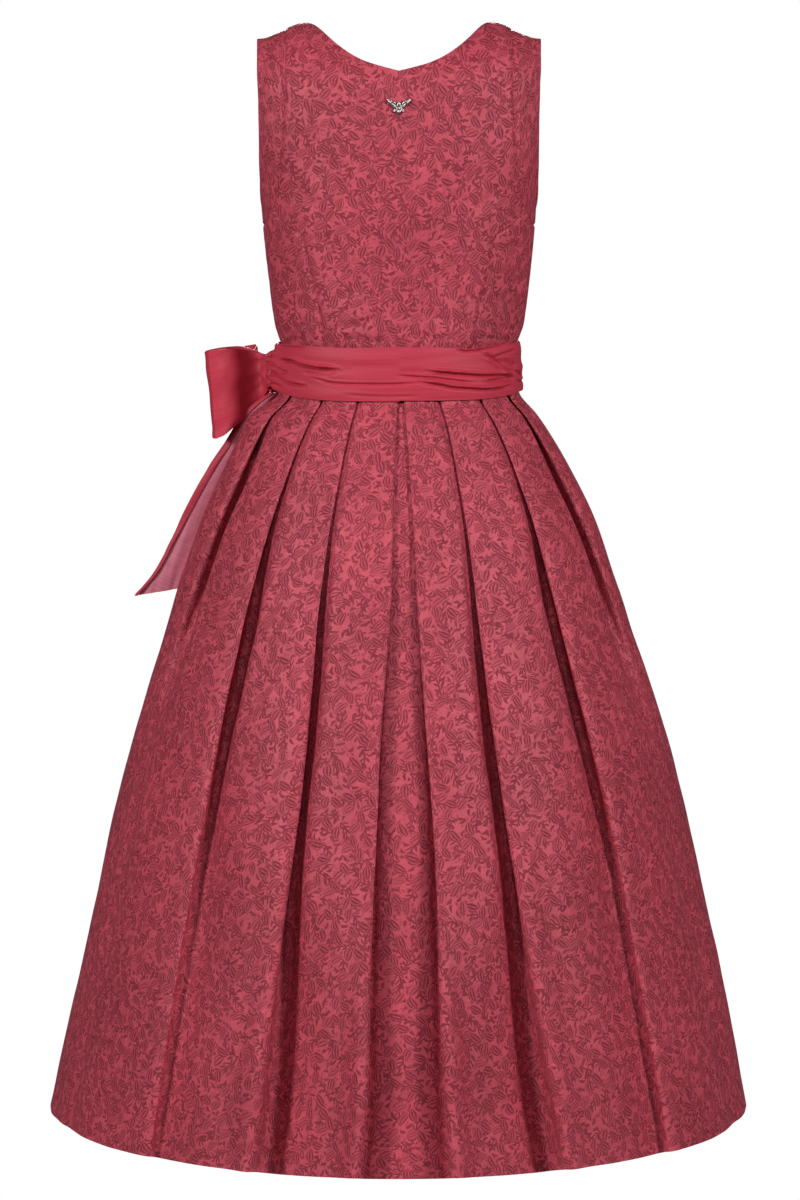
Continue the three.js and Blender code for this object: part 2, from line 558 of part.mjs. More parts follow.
// The places in the level's order where the skirt's four seams lie
function skirtSeams() {
  const sizes = FOLDS.map((fold) => (fold.centre ? CENTRE_SECTION : FOLD_SECTION).length + fold.faces);
  const startOf = (k) => sizes.slice(0, k).reduce((sum, n) => sum + n, 0);
  const faceOf = (k, i) => startOf(k) + sizes[k] - FOLDS[k].faces + i;
  const [rightFold, centreFold, leftFold, lastFold] = [2, 6, 10, 13];
  return {
    rightSide: faceOf(rightFold, 1), centreBack: faceOf(centreFold, 0), leftSide: faceOf(leftFold, 1),
    centreFront: faceOf(lastFold, 0),
  };
}

// The band round the waist
function waistBandGeometry() {
  const grid = BAND_ROWS.map(({ z, half, depth }) => Array.from({ length: BAND_COLUMNS }, (_, i) => {
    const angle = 2 * Math.PI * i / BAND_COLUMNS;
    const inset = CLOTH.band / 2;
    return new THREE.Vector3((half - inset) * Math.sin(angle), (depth - inset) * Math.cos(angle), z);
  }));
  const { half: topHalf, depth: topDepth } = BAND_ROWS[0];
  const normals = grid.map((row) => row.map((p, i) => {
    const angle = 2 * Math.PI * i / BAND_COLUMNS;
    return new THREE.Vector3(Math.sin(angle) / topHalf, Math.cos(angle) / topDepth, 0).normalize();
  }));
  return clothWall(grid, normals, CLOTH.band, true);
}

// The bow's own directions: out from the waistband, and along it towards the back
const BOW_FRAME = (() => {
  const angle = radians(BOW.turn);
  const half = columnAt(BAND_ROWS, 'half', BOW.seatZ);
  const depth = columnAt(BAND_ROWS, 'depth', BOW.seatZ);
  const origin = new THREE.Vector3(half * Math.sin(angle), depth * Math.cos(angle), 0);
  const out = new THREE.Vector3(Math.sin(angle) / half, Math.cos(angle) / depth, 0).normalize();
  const along = new THREE.Vector3(-out.y, out.x, 0);
  return { origin, out, along };
})();

function bowPoint(out, along, z) {
  const point = BOW_FRAME.origin.clone().addScaledVector(BOW_FRAME.out, out);
  return point.addScaledVector(BOW_FRAME.along, along).setZ(z);
}

// The knot: a wrapped lump of ribbon that sits on the band
function knotGeometry() {
  const { halfWide, halfHigh, height, rim, columns, rows, seatRadius } = KNOT;
  const seat = columnAt(BAND_ROWS, 'half', BOW.seatZ);
  const seatDepth = columnAt(BAND_ROWS, 'depth', BOW.seatZ);
  const underside = [];
  const topside = [];
  const bulge = (share) => 1 - (2 * share - 1) ** 4;
  for (let j = 0; j <= rows; j += 1) {
    const z = BOW.z + halfHigh * (1 - 2 * j / rows);
    underside.push([]);
    topside.push([]);
    for (let i = 0; i <= columns; i += 1) {
      const along = halfWide * (1 - 2 * i / columns);
      const turn = BOW.turn - degrees(along / seatRadius);
      const angle = radians(turn);
      const low = new THREE.Vector3(seat * Math.sin(angle), seatDepth * Math.cos(angle), z);
      low.addScaledVector(BOW_FRAME.out, BOW.rootGap);
      const dome = bulge(i / columns) * bulge(j / rows);
      underside.at(-1).push(low);
      topside.at(-1).push(low.clone().addScaledVector(BOW_FRAME.out, rim + (height - rim) * dome));
    }
  }
  const middle = underside.map((row, j) => row.map((p, i) => p.clone().lerp(topside[j][i], 0.5)));
  const halves = underside.map((row, j) => row.map((p, i) => topside[j][i].clone().sub(p)));
  return clothWall(middle, halves, 1);
}

// One loop of the bow: its ribbon goes out from the knot, turns and comes back
function loopGeometry({ side, scale }) {
  const { lean, reach, steps, across, middleOut, middleAlong } = LOOP;
  const path = new THREE.CatmullRomCurve3(LOOP_ROWS.map((row) => new THREE.Vector3(row.out, row.along, 0)));
  const edge = new THREE.CatmullRomCurve3(LOOP_ROWS.map((row) => new THREE.Vector3(row.top, row.bottom, 0)));
  const count = (LOOP_ROWS.length - 1) * steps;
  const root = LOOP_ROWS[0];
  const line = Array.from({ length: count + 1 }, (_, i) => i);
  const grid = Array.from({ length: across + 1 }, (_, j) => line.map((i) => {
    const at = path.getPoint(i / count);
    const heights = edge.getPoint(i / count);
    const share = j / across;
    const leaning = lean * share * Math.max(0, at.x - root.out) / (reach - root.out);
    const out = root.out + (at.x - root.out) * scale - leaning;
    const z = mix(heights.x, heights.y, share);
    return bowPoint(out, side * at.y * scale + side * (1 - scale) * root.along, BOW.z + (z - BOW.z) * scale);
  }));
  const centre = bowPoint(middleOut, side * middleAlong, BOW.z);
  const normals = gridNormals(grid, false, (p) => new THREE.Vector3().subVectors(p, centre).setZ(0));
  return clothWall(grid, normals, CLOTH.ribbon);
}

// The tail that hangs at the side of the skirt
function backTailGeometry() {
  const { across, bulge } = BACK_TAIL;
  const shares = Array.from({ length: across + 1 }, (_, i) => i / across);
  const grid = BACK_TAIL_ROWS.map(({ z, inX, outX, y, tipDrop = 0 }) => shares.map((share) => {
    const out = bulge * Math.sin(Math.PI * share);
    return new THREE.Vector3(mix(inX, outX, share), y + out, z - tipDrop * share);
  }));
  const normals = gridNormals(grid, false, () => new THREE.Vector3(0, 1, 0));
  return clothWall(grid, normals, CLOTH.ribbon);
}

// The other tail, which lies over the apron
function frontTailGeometry() {
  const { topTurn, footTurn, footZ, halfTop, halfFoot, topGap, rows, across } = FRONT_TAIL;
  const { standOff, standOffGain, ripple, ripples } = FRONT_TAIL;
  const topZ = BOW.z - KNOT.halfHigh - topGap;
  const places = Array.from({ length: across + 1 }, (_, i) => i / across);
  const grid = Array.from({ length: rows + 1 }, (_, j) => places.map((place) => {
    const share = j / rows;
    const z = mix(topZ, footZ, share);
    const middle = skirtBase(mix(topTurn, footTurn, share), z);
    const half = mix(halfTop, halfFoot, share);
    const turn = mix(topTurn, footTurn, share) + half * (2 * place - 1) / middle.perDegree;
    const off = standOff + standOffGain * share + ripple * Math.sin(2 * Math.PI * ripples * place);
    return skirtBase(turn, z).point.addScaledVector(middle.outward, off);
  }));
  const normals = gridNormals(grid, false, (p) => new THREE.Vector3(p.x, p.y, 0));
  return clothWall(grid, normals, CLOTH.ribbon);
}

// The apron's panel, in soft gathers over the front of the skirt
function apronGeometry() {
  const columns = APRON.waves * APRON.columnsPerWave;
  const grid = APRON_ROWS.map(({ z, standOff, wave }) => Array.from({ length: columns + 1 }, (_, i) => {
    const turn = mix(APRON.fromTurn, APRON.toTurn, i / columns);
    const { point, outward } = skirtBase(turn, z);
    const ripple = 0.5 - 0.5 * Math.cos(2 * Math.PI * i / APRON.columnsPerWave);
    return point.addScaledVector(outward, standOff + wave * ripple);
  }));
  const normals = gridNormals(grid, false, (p) => new THREE.Vector3(p.x, p.y, 0));
  normals.forEach((row) => row.forEach((normal) => normal.setZ(0).normalize()));
  return clothWall(grid, normals, CLOTH.apron);
}

// The ornament, cut as one outline: six petals with a pointed leaf on each side
function ornamentGeometry() {
  const { petals, flowerR, petalDip, leafLong, leafWide, thick, steps } = ORNAMENT;
  const outline = Array.from({ length: steps }, (_, i) => {
    const angle = 2 * Math.PI * i / steps;
    const petal = flowerR - petalDip * (0.5 - 0.5 * Math.cos(petals * angle));
    const leaf = Math.max(0, 1 - Math.abs(Math.sin(angle)) * flowerR / leafWide);
    return new THREE.Vector2(Math.cos(angle) * (petal + leafLong * leaf), Math.sin(angle) * petal);
  });
  return new THREE.ExtrudeGeometry(new THREE.Shape(outline), { depth: thick, bevelEnabled: false });
}

const dirndl = new THREE.Group();

function add(name, geometry, material) {
  const mesh = new THREE.Mesh(geometry, material);
  mesh.name = name;
  dirndl.add(mesh);
  return mesh;
}

add('bodice_back', backPanelGeometry(), MATERIALS.brocade);
for (const [name, side] of [['left', 1], ['right', -1]]) {
  add(`bodice_back_side_${name}`, backSideGeometry(side), MATERIALS.brocade);
  add(`bodice_front_side_${name}`, frontSideGeometry(side), MATERIALS.brocade);
  add(`bodice_front_${name}`, frontPanelGeometry(side), MATERIALS.brocade);
  add(`armhole_band_${name}`, armholeBandGeometry(side), MATERIALS.brocade);
}

const seam = skirtSeams();
const quarters = [
  ['skirt_front_right', seam.centreFront, seam.rightSide + SKIRT_RING.size],
  ['skirt_back_right', seam.rightSide, seam.centreBack],
  ['skirt_back_left', seam.centreBack, seam.leftSide],
  ['skirt_front_left', seam.leftSide, seam.centreFront],
];
for (const [name, from, to] of quarters) {
  add(name, skirtQuarter(from, to), MATERIALS.brocade);
}

add('apron_panel', apronGeometry(), MATERIALS.satin);
add('apron_waistband', waistBandGeometry(), MATERIALS.satin);
add('bow_knot', knotGeometry(), MATERIALS.satin);
add('bow_loop_back', loopGeometry(BACK_LOOP), MATERIALS.satin);
add('bow_loop_front', loopGeometry(FRONT_LOOP), MATERIALS.satin);
add('bow_tail_back', backTailGeometry(), MATERIALS.satin);
add('bow_tail_front', frontTailGeometry(), MATERIALS.satin);

const ornament = add('ornament', ornamentGeometry(), MATERIALS.silver);
const seat = bodyPlace({ x: 0, z: ORNAMENT.z }, false);
const seatNormal = bodyNormal(seat.x, seat.y);
ornament.position.copy(bodyPoint(seat.x, seat.y));
ornament.position.addScaledVector(seatNormal, CLOTH.bodice / 2 + ORNAMENT.gap);
ornament.quaternion.setFromUnitVectors(new THREE.Vector3(0, 0, 1), seatNormal);

export default dirndl;
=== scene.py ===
"""A worn dirndl: brocade bodice and pleated skirt, with a satin apron tied in a bow at the side.

Every piece is cut, hung and creased here as thin cloth on the form of its solid in the frame. Tables are in
millimetres, +Z up, the back of the dress faces +Y and the wearer's left is +X; meshes are in metres.
"""

import math

import bpy
import numpy as np
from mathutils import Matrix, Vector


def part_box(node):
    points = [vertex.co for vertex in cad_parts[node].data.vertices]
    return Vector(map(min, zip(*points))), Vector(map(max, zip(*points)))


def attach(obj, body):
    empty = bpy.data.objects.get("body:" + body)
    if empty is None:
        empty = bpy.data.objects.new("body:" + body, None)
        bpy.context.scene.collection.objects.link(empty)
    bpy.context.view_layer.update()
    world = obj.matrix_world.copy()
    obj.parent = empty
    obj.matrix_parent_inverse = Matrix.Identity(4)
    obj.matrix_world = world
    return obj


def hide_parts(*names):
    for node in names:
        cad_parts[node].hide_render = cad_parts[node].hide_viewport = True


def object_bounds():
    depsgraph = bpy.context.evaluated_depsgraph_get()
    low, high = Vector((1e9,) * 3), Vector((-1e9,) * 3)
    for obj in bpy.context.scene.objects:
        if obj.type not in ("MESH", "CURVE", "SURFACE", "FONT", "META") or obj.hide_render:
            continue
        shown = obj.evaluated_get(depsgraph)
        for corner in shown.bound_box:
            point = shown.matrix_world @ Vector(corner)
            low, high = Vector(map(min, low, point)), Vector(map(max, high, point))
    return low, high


bl_info = {
    "name": "Dirndl",
    "version": (1, 0, 0),
    "blender": (4, 5, 0),
    "location": "View3D > Sidebar > Dirndl",
    "description": "Sews a dirndl with its apron and bow, and sets up its studio",
    "category": "Object",
}

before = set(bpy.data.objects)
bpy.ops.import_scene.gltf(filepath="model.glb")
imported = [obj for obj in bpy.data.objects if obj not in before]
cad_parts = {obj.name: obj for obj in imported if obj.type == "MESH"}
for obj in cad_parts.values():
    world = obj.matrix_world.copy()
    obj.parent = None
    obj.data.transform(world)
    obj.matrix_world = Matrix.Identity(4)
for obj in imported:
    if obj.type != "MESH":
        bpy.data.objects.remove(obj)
CAD_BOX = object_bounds()
MM = 0.001

# Heights on the figure
WAIST_Z = -372
HIP_Z = -560
HEM_Z = -1185


def smooth(value, low, high):
    """A share that rises softly from 0 at low to 1 at high."""
    share = np.clip((value - low) / (high - low), 0, 1)
    return share * share * (3 - 2 * share)


def mix(low, high, share):
    return low + (high - low) * share


def bell(value, spread=1):
    """A smooth hill of height 1 over 0."""
    return np.exp(-((value / spread) ** 2))


class Table:
    """Rows with named columns. Between its rows a column is a smooth curve of the first one."""

    def __init__(self, heading, *rows):
        self.names = heading.split()
        self.rows = np.array(sorted(rows), float)

    def column(self, name):
        return self.rows[:, self.names.index(name)]

    def at(self, name, where):
        keys, values = self.rows[:, 0], self.column(name)
        steps = np.diff(values) / np.diff(keys)
        middle = (steps[1:] + steps[:-1]) / 2
        limit = 3 * np.minimum(abs(steps[1:]), abs(steps[:-1]))
        inner = np.where(steps[1:] * steps[:-1] > 0, np.sign(middle) * np.minimum(abs(middle), limit), 0)
        slopes = np.concatenate([steps[:1], inner, steps[-1:]])
        where = np.clip(np.asarray(where, float), keys[0], keys[-1])
        i = np.clip(np.searchsorted(keys, where, side="right") - 1, 0, len(keys) - 2)
        span = keys[i + 1] - keys[i]
        t = (where - keys[i]) / span
        rise = (t**3 - 2 * t**2 + t) * slopes[i] + (t**3 - t**2) * slopes[i + 1]
        return mix(values[i], values[i + 1], t * t * (3 - 2 * t)) + span * rise


# The bodice's level sections: half width, depth to the back and to the front, and how full the corners are
BODY = Table(
    "z half back front power",
    (0, 170, 84, 84, 2.3),
    (-60, 169, 90, 89, 2.3),
    (-125, 163, 95, 106, 2.3),
    (-170, 152.5, 96, 119, 2.3),
    (-190, 148.4, 96, 122, 2.3),
    (-217, 146.3, 95, 122, 2.25),
    (-241, 144, 94, 119, 2.2),
    (-273, 140.4, 92.5, 111, 2.13),
    (-304, 136.8, 91.5, 101, 2.06),
    (-326, 133.4, 91, 94, 2.02),
    (-338, 129.5, 89.7, 89.9, 2),
    (-345, 126.9, 88.2, 88.1, 2),
    (WAIST_Z, 126, 87.6, 87.6, 2),
)
SHOULDER = {"roll": 75, "neck": 99, "band": 121, "tip": 152.2, "slope": 19.5, "fade": 160}

# Seams and edges of the bodice, as x and z seen from the back or the front
BACK_NECK = [(99, 0), (64, -24), (27, -44), (0, -50)]
FRONT_NECK = [(99, 0), (97, -50), (86, -96), (62, -132), (30, -150), (0, -155)]
BACK_ARMHOLE = [
    (152.2, 0), (151.1, -41), (149.7, -80), (149.1, -125), (148.9, -159), (148.8, -178), (148.5, -187),
    (148.4, -190),
]
FRONT_ARMHOLE = [
    (152.2, 0), (149, -45), (144, -90), (142, -130), (144.5, -158), (147, -176), (148.2, -187), (148.4, -190),
]
BACK_BAND_SEAM = [(121, 0), (121.5, -60), (123, -112), (125, -146), (129, -174), (134, -192)]
BACK_BAND_FOOT = [(134, -192), (139, -202), (144.5, -213), (146.3, -217)]
FRONT_BAND_SEAM = [(121, 0), (120, -50), (117, -95), (117, -130)]
FRONT_BAND_FOOT = [(117, -130), (122, -162), (132, -190), (142, -211), (146.3, -217)]
# The band's seams on the back and front, each with its count of steps and whether it is seen from the front
BAND_SEAMS = {
    "back_band": (BACK_BAND_SEAM, 7, False),
    "back_foot": (BACK_BAND_FOOT, 4, False),
    "front_band": (FRONT_BAND_SEAM, 5, True),
    "front_foot": (FRONT_BAND_FOOT, 5, True),
}
# The panel seams run down from the armhole band to the waist, row by row beside the side seam:
# x and z on the back seam, x and z on the front one, and z at the side
PANEL_SEAMS = [
    (134, -192, 117, -130, -217),
    (131, -204, 114, -150, -222),
    (119, -215, 108, -172, -228),
    (106, -223, 98, -200, -237),
    (97, -251, 88, -230, -255),
    (90, -280, 79, -266, -281),
    (84.5, -304, 71, -299, -304),
    (81, -326, 66, -326, -326),
    (79.5, -338, 64, -338, -338),
    (78, -345, 63, -345, -345),
    (77, WAIST_Z, 62, WAIST_Z, WAIST_Z),
]

# The skirt's level sections, and how far its left side puffs out under the bow
SKIRT = Table(
    "z half back front puff",
    (WAIST_Z, 127.4, 89, 88, 0),
    (-386, 128, 89.4, 88.6, 0),
    (-400, 130.6, 91, 90, 0),
    (-421, 148.5, 106, 104, 12),
    (-449, 167, 120, 117, 7),
    (-485, 186.5, 138, 134, 3),
    (-530, 208, 157, 153, 1),
    (-590, 230, 180, 175, 0),
    (-660, 253, 205, 198, 0),
    (-745, 280, 234, 226, 0),
    (-840, 305, 262, 253, 0),
    (-940, 327.5, 288, 277, 0),
    (-1060, 354.5, 315, 303, 0),
    (HEM_Z, 380, 334, 322, 0),
)
PUFF = {"turn": 84, "spread": 17}

# The skirt's folds, by the turn round the figure in degrees from the centre of the back, positive to the
# wearer's left. lean is +1 where the cloth runs on towards the left from the folded edge. A fold lies flat
# down to its flat height, stands open as a slot at its deep height and as a wide ramp from its soft height.
# slot and ramp are shares of those depths, faces counts the points across the face after the fold, and centre
# marks the two folds over the middle recess.
FOLD_NAMES = "waist hip hem lean flat deep soft faces centre slot ramp".split()
FOLDS = [
    dict(zip(FOLD_NAMES, row))
    for row in [
        (-155, -155, -155, 1, -430, -620, -940, 2, 0, 0.7, 0.5),
        (-130, -129, -128, 1, -430, -600, -900, 2, 0, 0.7, 0.5),
        (-105, -104, -103, 1, -430, -560, -820, 4, 0, 0.6, 0.4),
        (-67.5, -72, -76, -1, -408, -500, -760, 3, 0, 0.95, 0.12),
        (-43, -45, -49, -1, -430, -650, -940, 3, 0, 0.9, 0.55),
        (-20.5, -20.5, -27.5, -1, -480, -790, -1120, 3, 0, 1, 1.55),
        (-2.6, -5, -8.4, -1, -440, -760, -1150, 1, 1, 1, 1.4),
        (0.9, 2.6, 6.4, 1, -440, -760, -1150, 3, 1, 1, 1.4),
        (20.7, 20.5, 23.6, 1, -480, -790, -1120, 3, 0, 1, 1.55),
        (40, 42, 43.5, 1, -430, -650, -940, 3, 0, 0.9, 0.55),
        (66.7, 68.5, 72, 1, -408, -500, -760, 4, 0, 0.95, 0.12),
        (105, 104, 103, -1, -430, -560, -820, 2, 0, 0.6, 0.4),
        (130, 129, 128, -1, -430, -600, -900, 2, 0, 0.7, 0.5),
        (155, 155, 155, -1, -430, -620, -940, 2, 0, 0.7, 0.5),
    ]
]
# A fold's section in the order of the cloth: along from the folded edge and out of the face, where it lies
# flat, where it stands open as a slot and where it is a ramp that runs in under the next folded edge
LAYER = 2.6
FOLD_SECTION = np.array([
    [(-9, -0.6), (-17, -4), (-24, -25)],
    [(-1, -2 * LAYER), (-9, -16), (-11, -30)],
    [(26, -2 * LAYER), (4, -28), (2, -32)],
    [(28, -1.5 * LAYER), (10.5, -25), (8.5, -28)],
    [(26, -LAYER), (9, -16), (8, -19)],
    [(0.9, -LAYER), (2, -7.5), (3, -9)],
    [(-0.9, -0.5 * LAYER), (-1.2, -2), (-0.8, -2.4)],
    [(0.9, 0), (3.5, 1.4), (5.5, 1.8)],
])
CENTRE_SECTION = np.array([
    [(0.3, -2 * LAYER), (-5, -15), (-12, -24)],
    [(24, -2 * LAYER), (6, -22), (-2, -27)],
    [(26, -1.5 * LAYER), (10.5, -20), (6, -25)],
    [(24, -LAYER), (8, -12), (6, -16)],
    [(0.9, -LAYER), (1.2, -5), (2, -7)],
    [(-0.9, -0.5 * LAYER), (-1.1, -1.6), (-1, -2)],
    [(0.9, 0), (3.2, 1.2), (5, 1.6)],
])
CENTRE_RECESS = (-2 * LAYER, -16, -30)
FACE_CROWN = (0.4, 2, 3)
FACE_FALL = (1, 1.2, 0.45)

# The waistband's level sections without its creases
BAND = Table(
    "z half depth",
    (-342.5, 131.6, 92.2),
    (-352, 133, 93.4),
    (-372, 134, 94.2),
    (-388, 135, 95),
    (-400, 134.6, 94.8),
)
# Where its lower edge is drawn up and its upper edge dips, and where it swells beside the bow
BAND_SAG = {"turn": 82, "spread": 26, "rise": 5.5}
BAND_DIP = {"turn": 325, "spread": 9, "deep": 2.6}
BAND_DEPTH = 1.3
BAND_EDGE = 0.6
BAND_INSET = 0.9
BAND_SWELL = {"turn": 86, "spread": 8, "high": 7, "ripples": 0.3}

# The bow's seat, an ellipse round the band. A loop's rows run along its ribbon: how far out of the band,
# how far along it, and the heights of the ribbon's two edges.
BOW = {"turn": 105, "z": -376, "gap": 0.45, "half": 136.0, "depth": 95.6}
KNOT = {"wide": 16, "high": 23, "height": 18.5, "rim": 2.5, "round": 105}
LOOP_ROWS = np.array([
    (-3.5, 27, -360, -390),
    (0.5, 26.5, -359, -391),
    (5, 21, -358, -393),
    (11, 9, -358, -397),
    (19, 2.6, -357, -404),
    (26, 3.6, -355.5, -412),
    (34, 13, -353, -424),
    (42, 38, -350.5, -435),
    (50, 50, -350.5, -443.5),
    (59, 54.5, -352, -447),
    (67, 47, -353.5, -446),
    (68, 34, -352.5, -443),
    (59, 17, -350.5, -436),
    (45, 4, -350, -422),
    (32, 0.5, -352.5, -406),
    (21.5, 0.5, -356, -396),
], float)
LOOP = {"lean": 9, "reach": 68, "middle": (42, 30), "steps": 11, "across": 45, "start": 6, "fade": 26}
# How finely the gathered root of a loop is waved along and across, and the scale of its broad waves
LOOP_PLEATS = (0.12, 46)
LOOP_BROAD = 80

# The tail at the side: its edge beside the skirt, its outer edge, and how far the outer edge curls over
BACK_TAIL = Table(
    "z inner outer y curl tip",
    (-399.8, 131.5, 140, -26, 2.5, 0),
    (-408, 140.5, 153, -24, 3.5, 0),
    (-421, 153, 169, -22, 5, 0),
    (-449, 169.5, 187, -22, 6, 0),
    (-479, 186, 207, -22, 6.5, 0),
    (-522, 207, 231, -22, 6.5, 0),
    (-558, 221.5, 248, -22, 3.5, 0),
    (-598, 236, 271, -22, 2.2, 3),
    (-614, 241, 289, -22, 1.6, 8),
)
FRONT_TAIL = {"top_turn": 112, "foot_turn": 121, "foot_z": -640, "half_top": 9, "half_foot": 27, "off": 10}

# The apron, gathered into the band over the front of the skirt
APRON = Table(
    "z off wave",
    (-400.4, 2.8, 0.4),
    (-421, 4.5, 1),
    (-470, 6, 2),
    (-560, 6.5, 3),
    (-680, 7, 4),
    (-820, 8, 5.5),
    (-970, 9, 6.5),
    (-1125, 10, 7),
)
APRON_CUT = {"from": 115, "to": 245, "top": -400.4, "hem": -1125, "waves": 9, "wander": 0.012}
# Millimetres for each degree round the apron, by which its gathers are spaced
APRON_DEGREE = 2.3
APRON_WAVES = {"gathers": (0.75, 8, 130, 23), "drape": (1.0, 46, 300, 24), "ripples": (0.16, 14, 26, 25)}
GATHER_START = (-4, 8)
GATHER_FADE = 60

# The silver ornament under the neckline
ORNAMENT = {
    "petals": 6, "petal": (3.3, 2.1), "ring": 4.1, "boss": (2.1, 2.1), "leaf": (5.2, 2.7), "leaf_ring": 9.8,
    "leaf_turn": 0.66, "sunk": 0.6, "raise": 1.5,
}

# How far the rows of stitches lie from their edges
NECK_STITCH = 4.5
ARMHOLE_STITCH = 4.5
SEAM_STITCH = 3.2
HEM_STITCH = 22
APRON_STITCH = 9
STITCH_SEED = 17


# Curves and fields


def spline(points, steps, closed=False):
    """A smooth curve through rows of points along the second axis, with each span cut into steps."""
    points = np.asarray(points, float)
    if closed:
        before, after = np.roll(points, 1, 1), np.roll(points, -1, 1)
        p0, p1, p2, p3 = before, points, after, np.roll(points, -2, 1)
    else:
        first = 2 * points[:, :1] - points[:, 1:2]
        last = 2 * points[:, -1:] - points[:, -2:-1]
        long = np.concatenate([first, points, last], 1)
        p0, p1, p2, p3 = long[:, :-3], long[:, 1:-2], long[:, 2:-1], long[:, 3:]

    def gap(a, b):
        return np.sqrt(np.linalg.norm(b - a, axis=-1, keepdims=True)) + 1e-9

    d0, d1, d2 = gap(p0, p1), gap(p1, p2), gap(p2, p3)
    m1 = ((p1 - p0) / d0 - (p2 - p0) / (d0 + d1) + (p2 - p1) / d1) * d1
    m2 = ((p2 - p1) / d1 - (p3 - p1) / (d1 + d2) + (p3 - p2) / d2) * d1
    out = []
    for k in range(steps):
        t = k / steps
        out.append(
            (2 * t**3 - 3 * t**2 + 1) * p1
            + (t**3 - 2 * t**2 + t) * m1
            + (3 * t**2 - 2 * t**3) * p2
            + (t**3 - t**2) * m2
        )
    curve = np.stack(out, 2).reshape(len(points), -1, points.shape[-1])
    return curve if closed else np.concatenate([curve, points[:, -1:]], 1)


def through(points, steps):
    """One smooth curve through a single row of points."""
    return spline(np.asarray(points, float)[None], steps)[0]


def spaced(points, count):
    """Evenly spaced places on the smooth curve through a row of points."""
    fine = through(points, 24)
    length = np.concatenate([[0], np.cumsum(np.linalg.norm(np.diff(fine, axis=0), axis=1))])
    at = np.linspace(0, length[-1], count + 1)
    return np.stack([np.interp(at, length, fine[:, k]) for k in range(fine.shape[1])], 1)


def unevenness(u, v, scale, seed, terms=9):
    """A smooth field about 0, the same each run, with hollows and swells about one scale across."""
    rng = np.random.default_rng(seed)
    wide, long = scale
    total = np.zeros(np.broadcast(u, v).shape)
    for _ in range(terms):
        angle, phase = rng.uniform(0, 2 * math.pi, 2)
        size = rng.uniform(0.8, 1.9)
        course = u / wide * math.cos(angle) + v / long * math.sin(angle)
        total += np.sin(2 * math.pi * course / size + phase)
    return total / math.sqrt(terms)


def swell(u, v, wave, share=1):
    """An uneven field by its wave: its height, its two scales and its seed. The share lets it show."""
    high, wide, long, seed = wave
    return high * share * unevenness(u, v, (wide, long), seed)


def swells(u, v, *waves):
    return sum(swell(u, v, wave) for wave in waves)


def creased(u, v, creases):
    """How far listed creases move a cloth. Each is a path over the cloth, its depth, its half width, and
    how high the lip on its upper side stands, as a share of the depth."""
    total = np.zeros(np.broadcast(u, v).shape)
    for path, depth, width, lip in creases:
        path = through(path, 6) if len(path) > 2 else np.array(path, float)
        best = np.full(total.shape, 1e9)
        side = np.zeros(total.shape)
        along = np.zeros(total.shape)
        spans = np.linalg.norm(np.diff(path, axis=0), axis=1)
        start = 0.0
        for (u0, v0), (u1, v1), span in zip(path[:-1], path[1:], spans):
            du, dv = (u1 - u0) / span, (v1 - v0) / span
            t = np.clip((u - u0) * du + (v - v0) * dv, 0, span)
            off_u, off_v = u - u0 - t * du, v - v0 - t * dv
            distance = np.hypot(off_u, off_v)
            nearer = distance < best
            best = np.where(nearer, distance, best)
            side = np.where(nearer, np.sign(off_v), side)
            along = np.where(nearer, (start + t) / spans.sum(), along)
            start += span
        fade = np.clip(np.sin(math.pi * np.clip(along, 0.02, 0.98)) * 2.2, 0, 1)
        signed = best * side / width
        total += depth * fade * (lip * bell(signed - 1.5) - bell(signed))
    return total


def unit(vectors):
    return vectors / np.maximum(np.linalg.norm(vectors, axis=-1, keepdims=True), 1e-12)


def grid_normals(grid, closed=False):
    """Normals of a grid of points by their neighbours."""
    if closed:
        across = np.roll(grid, -1, 1) - np.roll(grid, 1, 1)
    else:
        across = np.gradient(grid, axis=1)
    return unit(np.cross(across, np.gradient(grid, axis=0)))


def lengths(grid, axis):
    """Lengths along a grid from its first row or column."""
    steps = np.linalg.norm(np.diff(grid, axis=axis), axis=2)
    return np.insert(np.cumsum(steps, axis), 0, 0, axis)


def wrapped(grid):
    """A round grid with its first column once more at its end."""
    return np.concatenate([grid, grid[:, :1]], 1)


def flat_of(grid):
    """Flat places by the lengths along a grid's rows and columns."""
    return np.stack([lengths(grid, 1), -lengths(grid, 0)], -1)


def placed(name, data):
    """A new object in the scene."""
    obj = bpy.data.objects.new(name, data)
    bpy.context.scene.collection.objects.link(obj)
    return obj


def smoothed(mesh, sharp=None):
    """Shades a mesh smoothly, but for edges sharper than an angle in degrees."""
    mesh.polygons.foreach_set("use_smooth", np.ones(len(mesh.polygons), bool))
    if sharp:
        mesh.set_sharp_from_angle(angle=math.radians(sharp))
    mesh.update()


# Cloth


